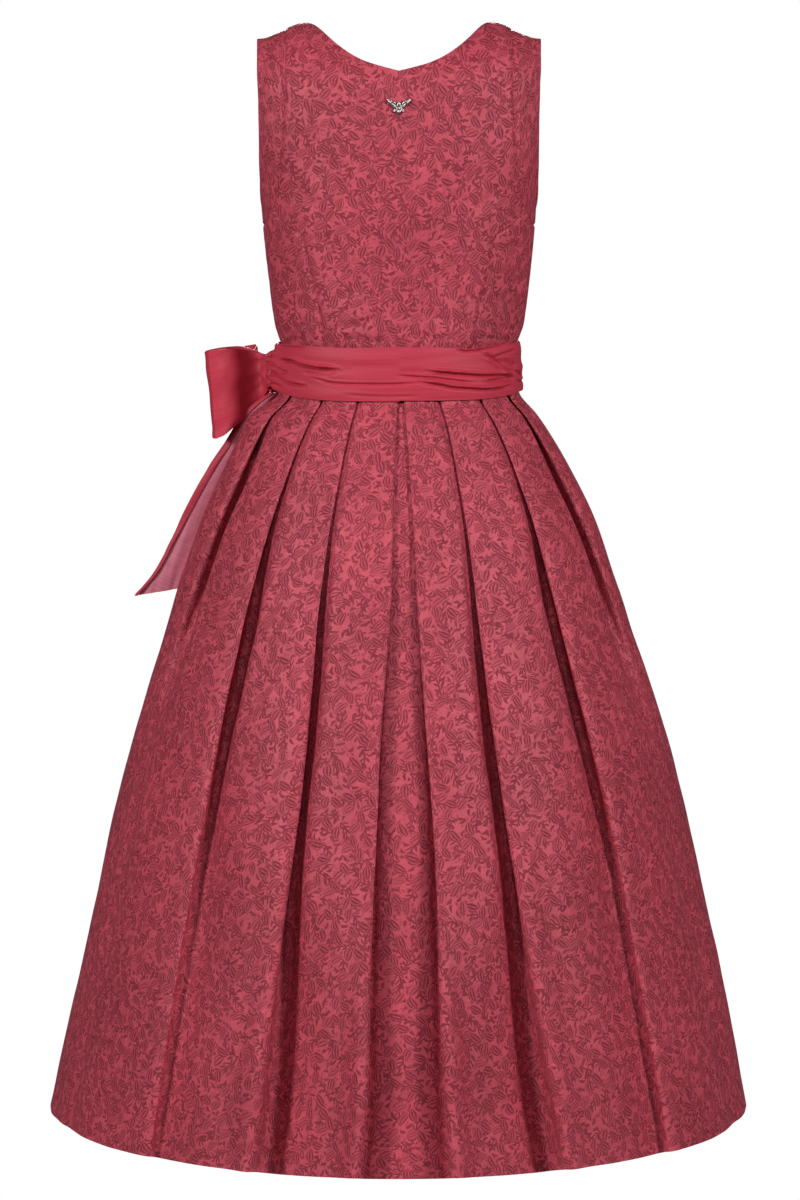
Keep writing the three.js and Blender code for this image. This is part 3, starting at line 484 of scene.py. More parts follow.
class Cloth:
    """A sheet of cloth: the points of its middle as rows and columns, and its flat place as a cut piece."""

    def __init__(self, grid, flat, outward, closed=False):
        self.grid = np.asarray(grid, float)
        self.flat = np.asarray(flat, float)
        self.closed = closed
        self.normals = grid_normals(self.grid, closed)
        self.turned = bool(np.sum(self.normals * outward) < 0)
        if self.turned:
            self.normals = -self.normals

    def move(self, offset):
        """Moves each point along its normal."""
        self.grid = self.grid + self.normals * np.asarray(offset)[..., None]
        normals = grid_normals(self.grid, self.closed)
        self.normals = -normals if self.turned else normals

    def piece(self, name, finishes, thickness):
        """The closed shell as an object: its outer face has the first finish, and its inner face the last."""
        rows, columns = self.grid.shape[:2]
        half = thickness / 2
        sides = [self.grid + self.normals * half, self.grid - self.normals * half]
        points = np.concatenate([side.reshape(-1, 3) for side in sides]) * MM
        count = rows * columns
        index = np.arange(count).reshape(rows, columns)
        flat_index = np.arange(rows * self.flat.shape[1]).reshape(rows, -1)
        if self.closed:
            index = wrapped(index)

        def quads(corners):
            return np.stack(
                [corners[:-1, :-1], corners[:-1, 1:], corners[1:, 1:], corners[1:, :-1]], -1
            ).reshape(-1, 4)

        winding = slice(None, None, -1 if self.turned else 1)
        face, place = quads(index)[:, winding], quads(flat_index)[:, winding]
        rims = [(index[0], flat_index[0]), (index[-1][::-1], flat_index[-1][::-1])]
        if not self.closed:
            rims += [(index[::-1, 0], flat_index[::-1, 0]), (index[:, -1], flat_index[:, -1])]
        faces, places = [face, face[:, ::-1] + count], [place, place[:, ::-1]]
        for rim, rim_flat in rims:
            wall = np.stack([rim[1:], rim[:-1], rim[:-1] + count, rim[1:] + count], -1)
            wall_flat = np.stack([rim_flat[1:], rim_flat[:-1], rim_flat[:-1], rim_flat[1:]], -1)
            faces.append(wall[:, winding])
            places.append(wall_flat[:, winding])
        corners = np.concatenate(places).reshape(-1)
        mesh = bpy.data.meshes.new(name)
        mesh.from_pydata(points.tolist(), [], np.concatenate(faces).tolist())
        layer = mesh.uv_layers.new(name="cloth")
        layer.data.foreach_set("uv", (self.flat.reshape(-1, 2)[corners] * MM).astype(np.float32).ravel())
        for finish in finishes:
            mesh.materials.append(finish)
        if len(finishes) > 1:
            slots = np.zeros(len(mesh.polygons), np.int32)
            slots[len(face) : 2 * len(face)] = 1
            mesh.polygons.foreach_set("material_index", slots)
        smoothed(mesh, CLOTH_SHARP)
        return placed(name, mesh)

    def cut(self):
        """The flat size of the cut: its width, its length and its area, in metres."""
        u, v = self.flat[..., 0], self.flat[..., 1]
        width, length = (u.max() - u.min()) * MM, (v.max() - v.min()) * MM
        sheet = wrapped(self.grid) if self.closed else self.flat
        a, b = sheet[1:, 1:] - sheet[:-1, :-1], sheet[1:, :-1] - sheet[:-1, 1:]
        if sheet.shape[-1] == 2:
            a, b = (np.insert(edge, 2, 0, -1) for edge in (a, b))
        area = np.linalg.norm(np.cross(a, b), axis=-1).sum() / 2 * MM * MM
        return width, length, min(max(area, 0.3 * width * length), width * length)


# How far apart the panels lie on the pattern, so that no two show the same stretch of it
PANEL_APART = 210
BAND_APART = 300
# Edges sharper than this, in degrees, stay sharp
CLOTH_SHARP = 62
METAL_SHARP = 50

SEWN = {}


def sew(settings, cloth, name, finishes):
    """Makes a cloth into its finished piece, which stands for the frame's node of that name."""
    SEWN[name] = cloth
    slot = "brocade" if "brocade" in finishes else "satin"
    thickness = settings.cloth_thickness if slot == "brocade" else settings.satin_thickness
    materials = [finish_named(finish, settings) for finish in finishes]
    piece = cloth.piece("cloth_" + name, materials, thickness / MM)
    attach(piece, "root")
    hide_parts(name)
    width, length, area = cloth.cut()


# The figure's surface


def shoulder_height(drop):
    roll = SHOULDER["roll"]
    curved = roll * (1 - np.cos(np.minimum(drop / roll, math.pi / 2)))
    return np.where(drop < roll * math.pi / 2, curved, drop - roll * (math.pi / 2 - 1))


def body_point(turn, drop):
    """The bodice's surface, by the turn round the figure in degrees and the drop from the shoulder line."""
    turn, drop = np.asarray(turn, float), np.asarray(drop, float)
    height = shoulder_height(drop)
    angle = np.radians(turn)
    sine, cosine = np.sin(angle), np.cos(angle)
    power = 2 / BODY.at("power", -height)
    half = BODY.at("half", -height)
    depth = np.where(cosine > 0, BODY.at("back", -height), BODY.at("front", -height))
    x = np.sign(sine) * half * abs(sine) ** power
    rolled = np.sin(np.minimum(drop / SHOULDER["roll"], math.pi / 2))
    y = np.sign(cosine) * depth * abs(cosine) ** power * rolled
    fade = np.maximum(0, 1 - drop / SHOULDER["fade"]) ** 2
    slope = SHOULDER["slope"] * smooth(abs(x), SHOULDER["neck"], SHOULDER["tip"])
    return np.stack([x, y, -height - slope * fade], -1)


def body_places(places, front):
    """The turns and drops of places seen from the back or the front."""
    x, z = np.array(places, float).T

    def turn_at(drop):
        high = shoulder_height(drop)
        share = np.minimum(x / BODY.at("half", -high), 1)
        turn = np.degrees(np.arcsin(share ** (BODY.at("power", -high) / 2)))
        return 180 - turn if front else turn

    low, high = np.zeros(len(x)), np.full(len(x), 500.0)
    for _ in range(40):
        middle = (low + high) / 2
        above = body_point(turn_at(middle), middle)[..., 2] > z
        low, high = np.where(above, middle, low), np.where(above, high, middle)
    drop = np.where(z < 0, (low + high) / 2, 0)
    return np.stack([turn_at(drop), drop], -1)


def girth(turn, drop, from_turn, steps=40):
    """The length round the figure at each drop, from one turn to another."""
    shares = np.linspace(0, 1, steps + 1)
    turns = from_turn + (turn[..., None] - from_turn) * shares
    around = body_point(turns, np.broadcast_to(drop[..., None], turns.shape))
    total = np.linalg.norm(np.diff(around, axis=-2), axis=-1).sum(-1)
    return total * np.sign(turn - from_turn)


def joined(*lists):
    return np.concatenate([lists[0]] + [points[1:] for points in lists[1:]])


def mirrored(points):
    return points * (-1, 1)


FINE = 6
FRONT_NECK_STEPS = 8


def body_seam(rows, count, front):
    return through(spaced(body_places(rows, front), count), FINE)


def level_line(start, end, count):
    return start + (end - start) * np.linspace(0, 1, count + 1)[:, None]


def bodice_seams():
    """The bodice's seams as turns and drops, shared by the panels on both sides of each."""
    table = np.array(PANEL_SEAMS, float)
    side = body_places([(1000, z) for z in table[:, 4]], False)

    def ridge(start, end, front):
        ends = body_places([(start, 0), (end, 0)], front)
        return level_line(ends[0], ends[1], 2 * FINE)

    return {
        **{name: body_seam(*BAND_SEAMS[name]) for name in BAND_SEAMS},
        "back_panel": through(body_places(table[:, :2], False), FINE),
        "front_panel": through(body_places(table[:, 2:4], True), FINE),
        "side": through(side, FINE),
        "back_ridge": ridge(SHOULDER["band"], SHOULDER["neck"], False),
        "front_ridge": ridge(SHOULDER["neck"], SHOULDER["band"], True),
        "back_neck": body_seam(BACK_NECK, 6, False),
        "front_neck": body_seam(FRONT_NECK, FRONT_NECK_STEPS, True),
    }


def filled(top, bottom, left, right):
    """Places that fill the patch between four seams."""
    u = np.linspace(0, 1, len(top))[None, :, None]
    v = np.linspace(0, 1, len(left))[:, None, None]
    corners = mix(mix(top[0], top[-1], u), mix(bottom[0], bottom[-1], u), v)
    return mix(top[None], bottom[None], v) + mix(left[:, None], right[:, None], u) - corners


# How a seam draws the cloth in: its depth and half width
SEAM_DITCH = (1.5, 1.9)
EDGE_ROLL = (0.45, 3.2)


def ditch(distance, size):
    depth, width = size
    return -depth * bell(distance, width)


def outward_and_up(grid):
    return np.stack([grid[..., 0], grid[..., 1], np.full(grid.shape[:2], 30.0)], -1)


def body_cloth(places, from_turn, seams, offset):
    """A bodice panel on its places, drawn in along the named seams."""
    grid = body_point(places[..., 0], places[..., 1])
    flat_u = girth(places[..., 0], places[..., 1], from_turn)
    flat = np.stack([flat_u + offset, -places[..., 1]], -1)
    cloth = Cloth(grid, flat, outward_and_up(grid))
    across, down = lengths(grid, 1), lengths(grid, 0)
    reach = {
        "left": across,
        "right": across[:, -1:] - across,
        "top": down,
        "bottom": down[-1:] - down,
    }
    cloth.move(sum(ditch(reach[name], SEAM_DITCH) for name in seams))
    return cloth


# Soft creases of the bodice, by x and z seen from the back: path, depth, half width, lip
BACK_CREASES = [
    ([(62, -331), (30, -336), (-6, -335)], 1.5, 3.6, 0.3),
    ([(70, -322), (44, -318), (22, -309)], 1.4, 4.2, 0.4),
    ([(-72, -318), (-48, -313), (-28, -303)], 1.5, 4.5, 0.4),
    ([(-66, -330), (-38, -333), (-14, -328)], 1.4, 3.5, 0.3),
    ([(76, -296), (56, -284), (38, -266)], 1.0, 6, 0.3),
    ([(-80, -292), (-58, -282), (-44, -262)], 1.2, 6, 0.3),
    ([(-110, -168), (-96, -186), (-76, -196)], 1.4, 6, 0.4),
    ([(112, -160), (100, -182), (84, -194)], 1.4, 6, 0.4),
    ([(-88, -120), (-84, -146), (-88, -172)], 0.8, 8, 0.2),
    ([(92, -112), (88, -140), (92, -168)], 0.8, 8, 0.2),
]
SIDE_CREASES = [
    ([(92, -318), (110, -322), (128, -330)], 1.4, 3.6, 0.4),
    ([(96, -292), (116, -300), (132, -312)], 1.2, 4.5, 0.4),
    ([(104, -262), (120, -272), (136, -276)], 0.9, 5, 0.3),
    ([(88, -332), (104, -336), (122, -338)], 1.0, 3, 0.3),
]
FRONT_CREASES = [
    ([(72, -178), (54, -206), (50, -240)], 1.1, 9, 0.2),
    ([(24, -330), (44, -334), (62, -330)], 1.0, 3.6, 0.3),
    ([(20, -300), (40, -312), (66, -318)], 1.0, 5, 0.3),
    ([(96, -120), (84, -138), (80, -160)], 1.0, 7, 0.3),
]


def soften(cloth, seed, creases=()):
    """Lets a bodice panel lie like cloth: faint hollows all over, and its creases."""
    x, z = abs(cloth.grid[..., 0]), cloth.grid[..., 2]
    u, v = cloth.flat[..., 0], cloth.flat[..., 1]
    offset = swells(u, v, (0.4, 60, 70, seed), (0.12, 17, 20, seed + 1))
    signed = cloth.grid[..., 0] if creases is BACK_CREASES else x
    cloth.move(offset + creased(signed, z, creases))


def bodice_cloths():
    """Every bodice panel, by name."""
    seams = bodice_seams()
    half_top = joined(seams["back_ridge"], seams["back_neck"])
    top = joined(half_top, mirrored(half_top[::-1]))
    left = joined(seams["back_band"], seams["back_panel"])
    foot = left[-1]
    bottom = level_line(foot, foot * (-1, 1), len(top) - 1)
    back = body_cloth(filled(top, bottom, left, mirrored(left)), 0, ("left", "right"), 0)
    soften(back, 11, BACK_CREASES)
    cloths = {"bodice_back": back}

    outer = joined(seams["front_band"], seams["front_panel"])
    centre = body_places([(0, WAIST_Z)], True)[0]
    below = len(outer) - len(seams["front_neck"])
    inner = joined(seams["front_neck"], level_line(seams["front_neck"][-1], centre, below))
    back_seam, front_seam, side_seam = (seams[name] for name in ("back_panel", "front_panel", "side"))
    all_round = ("top", "left", "right")
    panels = {
        "bodice_back_side": (
            seams["back_foot"], back_seam[-1], side_seam[-1], back_seam, side_seam, all_round, SIDE_CREASES,
        ),
        "bodice_front_side": (
            seams["front_foot"], front_seam[-1], side_seam[-1], front_seam, side_seam, all_round,
            SIDE_CREASES,
        ),
        "bodice_front": (
            seams["front_ridge"], centre, outer[-1], inner, outer, ("left", "right"), FRONT_CREASES,
        ),
    }
    for number, (name, (top, low, high, left, right, drawn, creases)) in enumerate(panels.items()):
        bottom = level_line(low, high, len(top) - 1)
        for side, word in ((1, "left"), (-1, "right")):
            edges = [points if side > 0 else mirrored(points) for points in (top, bottom, left, right)]
            places = filled(*edges)
            middle = places[len(places) // 2, places.shape[1] // 2, 0]
            cloth = body_cloth(places, middle, drawn, PANEL_APART * (number + 1) * side)
            soften(cloth, 31 + 7 * number + side, creases)
            cloths[f"{name}_{word}"] = cloth
    return cloths


def armhole_band(side):
    """The band round an armhole, from the shoulder down the back, under the arm and up the front."""
    seams = bodice_seams()
    seam_back = joined(seams["back_band"], seams["back_foot"])
    seam_front = joined(seams["front_band"], seams["front_foot"])
    edge_back = through(spaced(body_places(BACK_ARMHOLE, False), (len(seam_back) - 1) // FINE), FINE)
    edge_front = through(spaced(body_places(FRONT_ARMHOLE, True), (len(seam_front) - 1) // FINE), FINE)
    edge = np.concatenate([edge_back, edge_front[::-1][1:-1]])
    seam = np.concatenate([seam_back, seam_front[::-1][1:-1]])
    shares = np.linspace(0, 1, 11)[:, None, None]
    places = mix(edge[None], seam[None], shares)
    if side < 0:
        places = places * (-1, 1)
    grid = body_point(places[..., 0], places[..., 1])
    across = lengths(grid, 0)
    middle_row = len(grid) // 2
    around = lengths(wrapped(grid), 1)[middle_row : middle_row + 1] * np.ones((len(grid), 1))
    flat = np.stack([around, -wrapped(across) - BAND_APART * side], -1)
    cloth = Cloth(grid, flat, outward_and_up(grid), closed=True)
    rolled = EDGE_ROLL[0] * bell(across / EDGE_ROLL[1] - 1)
    uneven = swells(around[:, :-1], across, (0.22, 34, 26, 61 + side))
    cloth.move(ditch(across[-1:] - across, SEAM_DITCH) + rolled + uneven)
    return cloth


# The skirt


def skirt_base(turn, z):
    """The skirt's plain outer face: points, outward directions in plan and lengths for each degree."""
    angle = np.radians(turn)
    sine, cosine = np.sin(angle), np.cos(angle)
    half = SKIRT.at("half", z)
    depth = np.where(cosine > 0, SKIRT.at("back", z), SKIRT.at("front", z))
    point = np.stack(np.broadcast_arrays(half * sine, depth * cosine, z), -1)
    outward = unit(np.stack(np.broadcast_arrays(sine / half, cosine / depth, 0 * z), -1))
    return point, outward, np.radians(np.hypot(half * cosine, depth * sine))


def skirt_puff(turn, z):
    return SKIRT.at("puff", z) * bell(turn - PUFF["turn"], PUFF["spread"])


def fold_shares(fold, z):
    """How far a fold lies flat, stands open and is a soft valley, at each height."""
    opened = smooth(-z, -fold["flat"], -fold["deep"])
    softened = smooth(-z, -fold["deep"], -fold["soft"])
    return np.stack([1 - opened, opened * (1 - softened), opened * softened], -1)


def fold_points(number, z):
    """The turns and rises of one fold's points, at each height."""
    fold = FOLDS[number]
    path = Table("z turn", (WAIST_Z, fold["waist"]), (HIP_Z, fold["hip"]), (HEM_Z, fold["hem"]))
    turn = path.at("turn", z)
    per_degree = skirt_base(turn, z)[2]
    wander = smooth(-z, 400, 620) * unevenness(z, 0 * z, (260, 1), 80 + number)
    turn = turn + 1.1 * wander / per_degree
    section = (CENTRE_SECTION if fold["centre"] else FOLD_SECTION).copy()
    section[:, 1:, 1] *= (fold["slot"], fold["ramp"])
    loose = np.linspace(section[0, 2, 0], -section[0, 2, 0], len(section))
    section[:, 2, 0] = mix(loose, section[:, 2, 0], min(1, 1.4 * fold["ramp"]))
    moved = np.einsum("rs,psk->rpk", fold_shares(fold, z), section)
    turns = turn[:, None] + fold["lean"] * moved[..., 0] / per_degree[:, None]
    rises = moved[..., 1]
    return (turns, rises) if fold["lean"] > 0 else (turns[:, ::-1], rises[:, ::-1])


def skirt_controls(z):
    """The turns and rises of the whole round at each height, and where each face starts and ends."""
    turns, rises, faces = [], [], []
    folds = [fold_points(number, z) for number in range(len(FOLDS))]
    count = 0
    for number, fold in enumerate(FOLDS):
        after = (number + 1) % len(FOLDS)
        own_turn, own_rise = folds[number]
        next_turn = folds[after][0][:, :1] + (360 if after == 0 else 0)
        next_rise = folds[after][1][:, :1]
        t = np.arange(1, fold["faces"] + 1) / (fold["faces"] + 1)
        recess = fold["centre"] and FOLDS[after]["centre"]
        crown = (fold_shares(fold, z) @ np.array(CENTRE_RECESS if recess else FACE_CROWN))[:, None]
        falls = own_rise[:, -1:] > next_rise
        fall = (fold_shares(fold, z) @ np.array(FACE_FALL))[:, None]
        share = np.where(falls, t**fall, 1 - (1 - t) ** fall)
        swell = mix(own_rise[:, -1:], next_rise, share) + crown * np.sin(math.pi * t)
        turns += [own_turn, mix(own_turn[:, -1:], next_turn, t)]
        rises += [own_rise, np.broadcast_to(crown, swell.shape) if recess else swell]
        faces.append((count + own_turn.shape[1] - 1, count + own_turn.shape[1] + fold["faces"]))
        count += own_turn.shape[1] + fold["faces"]
    return np.concatenate(turns, 1), np.concatenate(rises, 1), faces


SKIRT_STEPS = 4
# The skirt's seams: the fold before each, and how many points after it
SKIRT_SEAMS = {"right": (2, 2), "back": (6, 1), "left": (10, 2), "front": (13, 1)}
# The waves of the skirt's cloth, and where they start and fade below the waist
SKIRT_WAVES = {"puckers": (0.55, 15, 160, 5), "drape": (1.5, 90, 330, 6), "ripples": (0.35, 38, 55, 7)}
PUCKER_START = (0, 10)
PUCKER_FADE = 34
DRAPE_START = (30, 260)
# A fold's inner cloth hangs straighter than its face, so it reaches lower by this share of its depth
HANG = 0.27
SKIRT_HEIGHTS = np.concatenate([
    np.linspace(WAIST_Z, -397, 5),
    np.linspace(-400, -460, 17),
    np.linspace(-467, -620, 23),
    np.linspace(-632, HEM_Z, 47),
])


def skirt_flat(grid, slant, faces):
    """Flat places of the skirt's cloth: straight down each face, with what the folds take up in between."""
    along = lengths(wrapped(grid), 1)
    starts = [a * SKIRT_STEPS for a, _ in faces]
    ends = [b * SKIRT_STEPS for _, b in faces]
    total = along[:, -1]
    middles = np.stack([(along[:, a] + along[:, min(b, grid.shape[1])]) / 2 for a, b in zip(starts, ends)], 1)
    hem = middles[-1]
    anchors = hem - hem[0]
    flat_u = np.empty_like(along)
    for row in range(len(grid)):
        xs, us = [], []
        for k, (a, b) in enumerate(zip(starts, ends)):
            end = along[row, b] if b <= grid.shape[1] else total[row] + along[row, b - grid.shape[1]]
            xs += [along[row, a], end]
            us += [anchors[k] + along[row, a] - middles[row, k], anchors[k] + end - middles[row, k]]
        first = total[-1] - (us[-1] - us[0])
        xs = [xs[-1] - total[row]] + xs
        us = [us[0] - first] + us
        flat_u[row] = np.interp(along[row], xs, us)
    return np.stack([flat_u, -wrapped(slant)], -1)


def skirt_cloths():
    """The skirt's four pieces, cut from one pleated round."""
    z = SKIRT_HEIGHTS
    turns, rises, faces = skirt_controls(z)
    height = z[:, None]
    point, outward, _ = skirt_base(turns, np.broadcast_to(height, turns.shape))
    flare = smooth(-height, 420, 700) * HANG
    rises = rises + skirt_puff(turns, height)
    point = point + outward * rises[..., None]
    point[..., 2] += flare * np.minimum(rises, 0)
    grid = spline(point, SKIRT_STEPS, closed=True)
    base = spline(skirt_base(turns, np.broadcast_to(height, turns.shape))[0], SKIRT_STEPS, closed=True)
    slant = lengths(base, 0)
    flat = skirt_flat(grid, slant, faces)

    whole = Cloth(grid, flat, np.stack([grid[..., 0], grid[..., 1], 0 * grid[..., 2]], -1), closed=True)
    around = np.degrees(np.arctan2(grid[..., 0], grid[..., 1])) * 3
    below = -400 - grid[..., 2]
    puckered = np.exp(-np.clip(below, 0, None) / PUCKER_FADE) * smooth(below, *PUCKER_START)
    draped = smooth(below, *DRAPE_START)
    whole.move(
        swell(around, below, SKIRT_WAVES["puckers"], puckered)
        + swell(around, below, SKIRT_WAVES["drape"], draped)
        + swell(flat[:, :-1, 0], below, SKIRT_WAVES["ripples"], draped)
    )
    size = grid.shape[1]
    marks = {name: (faces[number][0] + after) * SKIRT_STEPS for name, (number, after) in SKIRT_SEAMS.items()}
    quarters = [
        ("skirt_front_right", marks["front"], marks["right"] + size),
        ("skirt_back_right", marks["right"], marks["back"]),
        ("skirt_back_left", marks["back"], marks["left"]),
        ("skirt_front_left", marks["left"], marks["front"]),
    ]
    cloths = {}
    for name, start, end in quarters:
        order = np.arange(start, end + 1)
        u = flat[:, order % size, 0] + (order >= size) * (flat[:, -1:, 0] - flat[:, :1, 0])
        part = Cloth(whole.grid[:, order % size], np.stack([u, flat[:, order % size, 1]], -1), 1)
        part.turned = whole.turned
        part.normals = whole.normals[:, order % size]
        cloths[name] = part
    return cloths


# The apron and the waistband


def apron_cloth():
    """The apron's panel: small gathers under the band that open into soft waves."""
    top, hem = APRON_CUT["top"], APRON_CUT["hem"]
    heights = np.concatenate([np.linspace(top, -470, 22), np.linspace(-478, hem, 66)])
    columns = 361
    share = np.linspace(0, 1, columns)[None]
    z = np.broadcast_to(heights[:, None], (len(heights), columns))
    below = top - z
    down = below / (top - hem)
    turn = mix(APRON_CUT["from"], APRON_CUT["to"], share) + 0 * z
    base, outward, _ = skirt_base(turn, z)
    wander = APRON_CUT["wander"] * unevenness(share * 100, down * 20, (26, 60), 21)
    shifted = share + wander * np.sin(math.pi * share)
    phase = 2 * math.pi * APRON_CUT["waves"] * shifted
    uneven = 1 + 0.3 * unevenness(share * 100, 0 * down, (30, 1), 22)
    ripple = (0.5 - 0.5 * np.cos(phase)) * np.clip(uneven, 0.4, 1.5)
    offset = APRON.at("off", z) + APRON.at("wave", z) * ripple
    grid = base + outward * offset[..., None]
    arc = (turn - turn[:, :1]) * APRON_DEGREE
    gathered = smooth(below, *GATHER_START) * np.exp(-below / GATHER_FADE)
    flat = flat_of(grid)
    flat[..., 0] = mix(flat[..., 0], flat[-1:, :, 0], 0.75)
    cloth = Cloth(grid, flat, outward)
    cloth.move(
        swell(arc, below, APRON_WAVES["gathers"], gathered)
        + swell(arc, below, APRON_WAVES["drape"], smooth(down, 0.05, 0.5))
        + swell(arc, below, APRON_WAVES["ripples"], smooth(down, 0, 0.1))
    )
    return cloth


# The waistband's creases, by the length along it from the centre of the back, positive to the wearer's left,
# and the height: path, depth, half width, and how high its lip stands
BAND_CREASES = [
    ([(152, -361), (125, -360.6), (112, -363.9), (101, -365.4), (89, -366.7), (78, -367), (66, -367.4)],
     3.7, 2.0, 0.8),
    ([(110, -371), (88, -371.4), (68, -370.6)], 1.0, 1.6, 0.3),
    ([(178, -377.5), (160, -377.8), (150, -379.5), (142, -382.2), (123, -384.7), (106, -386)], 2.9, 1.9, 0.6),
    ([(98, -376.8), (85, -378.8), (74, -380.8), (47, -381.6), (9, -381.4), (-22, -380)], 1.3, 1.4, 0.5),
    ([(178, -364), (164, -366.4), (151, -371.7), (136, -372.8)], 3.0, 2.2, 0.5),
    ([(182, -371), (166, -374), (150, -375.2)], 2.1, 1.6, 0.4),
    ([(180, -386), (164, -387.5), (146, -389.5)], 1.5, 1.8, 0.4),
    ([(162, -346.2), (138, -346), (110, -345)], 1.4, 1.7, 0.3),
    ([(-64, -346.8), (-78, -347.2), (-90, -346.4), (-98, -345.2), (-112, -343.4), (-130, -342.6)],
     2.3, 1.6, 0.5),
    ([(-110, -355), (-124, -352.6), (-148, -349.4)], 1.6, 2.2, 0.4),
    ([(-96, -350.5), (-107, -355.5), (-117, -361.5), (-127, -368), (-146, -374)], 2.8, -2.4, 0.6),
    ([(-112, -357.5), (-130, -362), (-152, -367)], 2.0, 4.2, 0.1),
    ([(-28, -367.8), (-51, -370.1), (-74, -372.4), (-90, -373.9), (-114, -374.8), (-142, -376.4)],
     3.1, 1.7, 0.7),
    ([(2, -372.2), (-28, -374.2), (-44, -375.7), (-62, -378.4), (-82, -381)], 1.6, 1.4, 0.5),
    ([(-98, -380.8), (-112, -380.2), (-124, -379.4), (-142, -378.4)], 2.3, 2.6, 0.3),
    ([(-20, -379.4), (-44, -382.6), (-58, -385.8), (-76, -387.4), (-96, -389.1), (-118, -388.6),
      (-138, -386)],
     2.9, 1.7, 0.7),
    ([(-144, -371), (-156, -374), (-168, -380)], 2.0, 1.7, 0.5),
    ([(-148, -382), (-160, -384.6), (-174, -387)], 1.7, 1.8, 0.4),
    ([(60, -393), (20, -394.5), (-20, -394)], 0.6, 1.6, 0.4),
]
# Its other side, from the bow round the front, by the same length
BAND_CREASES_FRONT = [
    ([(196, -366), (232, -367), (272, -371)], 1.9, 2.2, 0.7),
    ([(200, -378), (244, -381), (300, -384), (352, -383)], 1.5, 1.9, 0.6),
    ([(236, -358), (292, -361), (352, -366), (398, -372)], 1.1, 2.2, 0.5),
    ([(204, -388), (250, -390), (286, -391)], 1.1, 1.8, 0.5),
    ([(330, -374), (384, -376), (440, -374), (486, -370)], 1.6, 1.9, 0.6),
    ([(372, -388), (428, -386), (492, -380)], 1.3, 1.9, 0.5),
    ([(452, -360), (500, -364), (540, -374)], 1.5, 2.3, 0.6),
    ([(470, -388), (520, -386), (560, -382)], 1.2, 1.9, 0.5),
]


def waistband_cloth():
    """The satin band round the waist, with its lying creases."""
    columns, rows = 600, 84
    angle = np.linspace(0, 2 * math.pi, columns, endpoint=False)[None]
    share = np.linspace(0, 1, rows)[:, None]
    turn = np.degrees(angle)
    off = np.minimum(abs(turn - BAND_SAG["turn"]), abs(turn - 360 + BAND_SAG["turn"]))
    sag = BAND_SAG["rise"] * bell(off, BAND_SAG["spread"])
    dip = BAND_DIP["deep"] * bell(turn - BAND_DIP["turn"], BAND_DIP["spread"])
    dip = dip + swells(turn, 0 * turn, (0.7, 60, 1, 41))
    hem = swells(turn, 0 * turn, (0.8, 70, 1, 42))
    z = mix(BAND.rows[-1, 0] - dip, BAND.rows[0, 0] + BAND_EDGE + hem + sag, share)
    half, depth = BAND.at("half", z) - BAND_INSET, BAND.at("depth", z) - BAND_INSET
    grid = np.stack(np.broadcast_arrays(half * np.sin(angle), depth * np.cos(angle), z), -1)
    outward = np.stack(np.broadcast_arrays(np.sin(angle) / half, np.cos(angle) / depth, 0 * z), -1)
    around = lengths(wrapped(grid), 1)[rows // 2][None]
    total = around[0, -1]
    u = np.broadcast_to(around[:, :-1], z.shape)
    back = np.where(u > total / 2, u - total, u)
    flat_v = wrapped(z)
    flat = np.stack([np.broadcast_to(around, flat_v.shape), flat_v], -1)
    cloth = Cloth(grid, flat, outward, closed=True)
    inner = np.sin(math.pi * share) ** 0.5
    drawn = bell(turn - BAND_SWELL["turn"], BAND_SWELL["spread"])
    ripples = 1 + BAND_SWELL["ripples"] * unevenness(0.15 * u, z, (40, 7), 45)
    cloth.move(
        BAND_SWELL["high"] * drawn * ripples * inner
        + BAND_DEPTH * creased(back, z, BAND_CREASES)
        + creased(u, z, BAND_CREASES_FRONT)
        + inner * swells(u, z * 3, (0.4, 190, 52, 43), (0.1, 60, 18, 44))
    )
    return cloth


# The bow


def bow_frame():
    """The bow's origin on the band, its direction out of it and its direction along it to the back."""
    angle = math.radians(BOW["turn"])
    half, depth = BOW["half"], BOW["depth"]
    origin = np.array([half * math.sin(angle), depth * math.cos(angle), 0])
    out = unit(np.array([math.sin(angle) / half, math.cos(angle) / depth, 0]))
    return origin, out, np.array([-out[1], out[0], 0])


def bow_point(out, along, z):
    origin, outward, back = bow_frame()
    point = origin + outward * np.asarray(out)[..., None] + back * np.asarray(along)[..., None]
    point[..., 2] = z
    return point


def loop_cloth(side, scale, seed):
    """One loop of the bow: its ribbon goes out from the knot, turns and comes back, pleated at the knot."""
    across = LOOP["across"]
    out, along, top, bottom = through(LOOP_ROWS, LOOP["steps"]).T
    share = np.linspace(0, 1, across)[:, None]
    root_out, root_along = LOOP_ROWS[0, :2]
    leaning = LOOP["lean"] * share * np.maximum(0, out - root_out) / (LOOP["reach"] - root_out)
    grid_out = root_out + (out - root_out) * scale - leaning
    z = BOW["z"] + (mix(top, bottom, share) - BOW["z"]) * scale
    grid_along = side * (along * scale + (1 - scale) * root_along) + 0 * share
    grid = bow_point(grid_out, grid_along, z)
    middle_out, middle_along = LOOP["middle"]
    centre = bow_point(middle_out, side * middle_along, 0)
    outward = (grid - centre) * (1, 1, 0)
    middle = lengths(grid, 1)[across // 2][None] + 0 * share
    width = lengths(grid, 0)
    flat = np.stack([middle, -width + width[-1:] / 2], -1)
    cloth = Cloth(grid, flat, outward)
    span = middle[0, -1]
    from_knot = np.minimum(middle, span - middle)
    pinch = np.exp(-from_knot / LOOP["fade"]) * smooth(from_knot, 0, LOOP["start"])
    inner = smooth(np.minimum(share, 1 - share), 0, 0.12)
    cloth.move(
        swell(middle * LOOP_PLEATS[0], share * LOOP_PLEATS[1], (1.5, 40, 9, seed), pinch * inner)
        + swell(middle, share * LOOP_BROAD, (1.1, 110, 40, seed + 1), inner)
        + swell(middle, share * LOOP_BROAD, (0.18, 30, 12, seed + 2))
    )
    return cloth


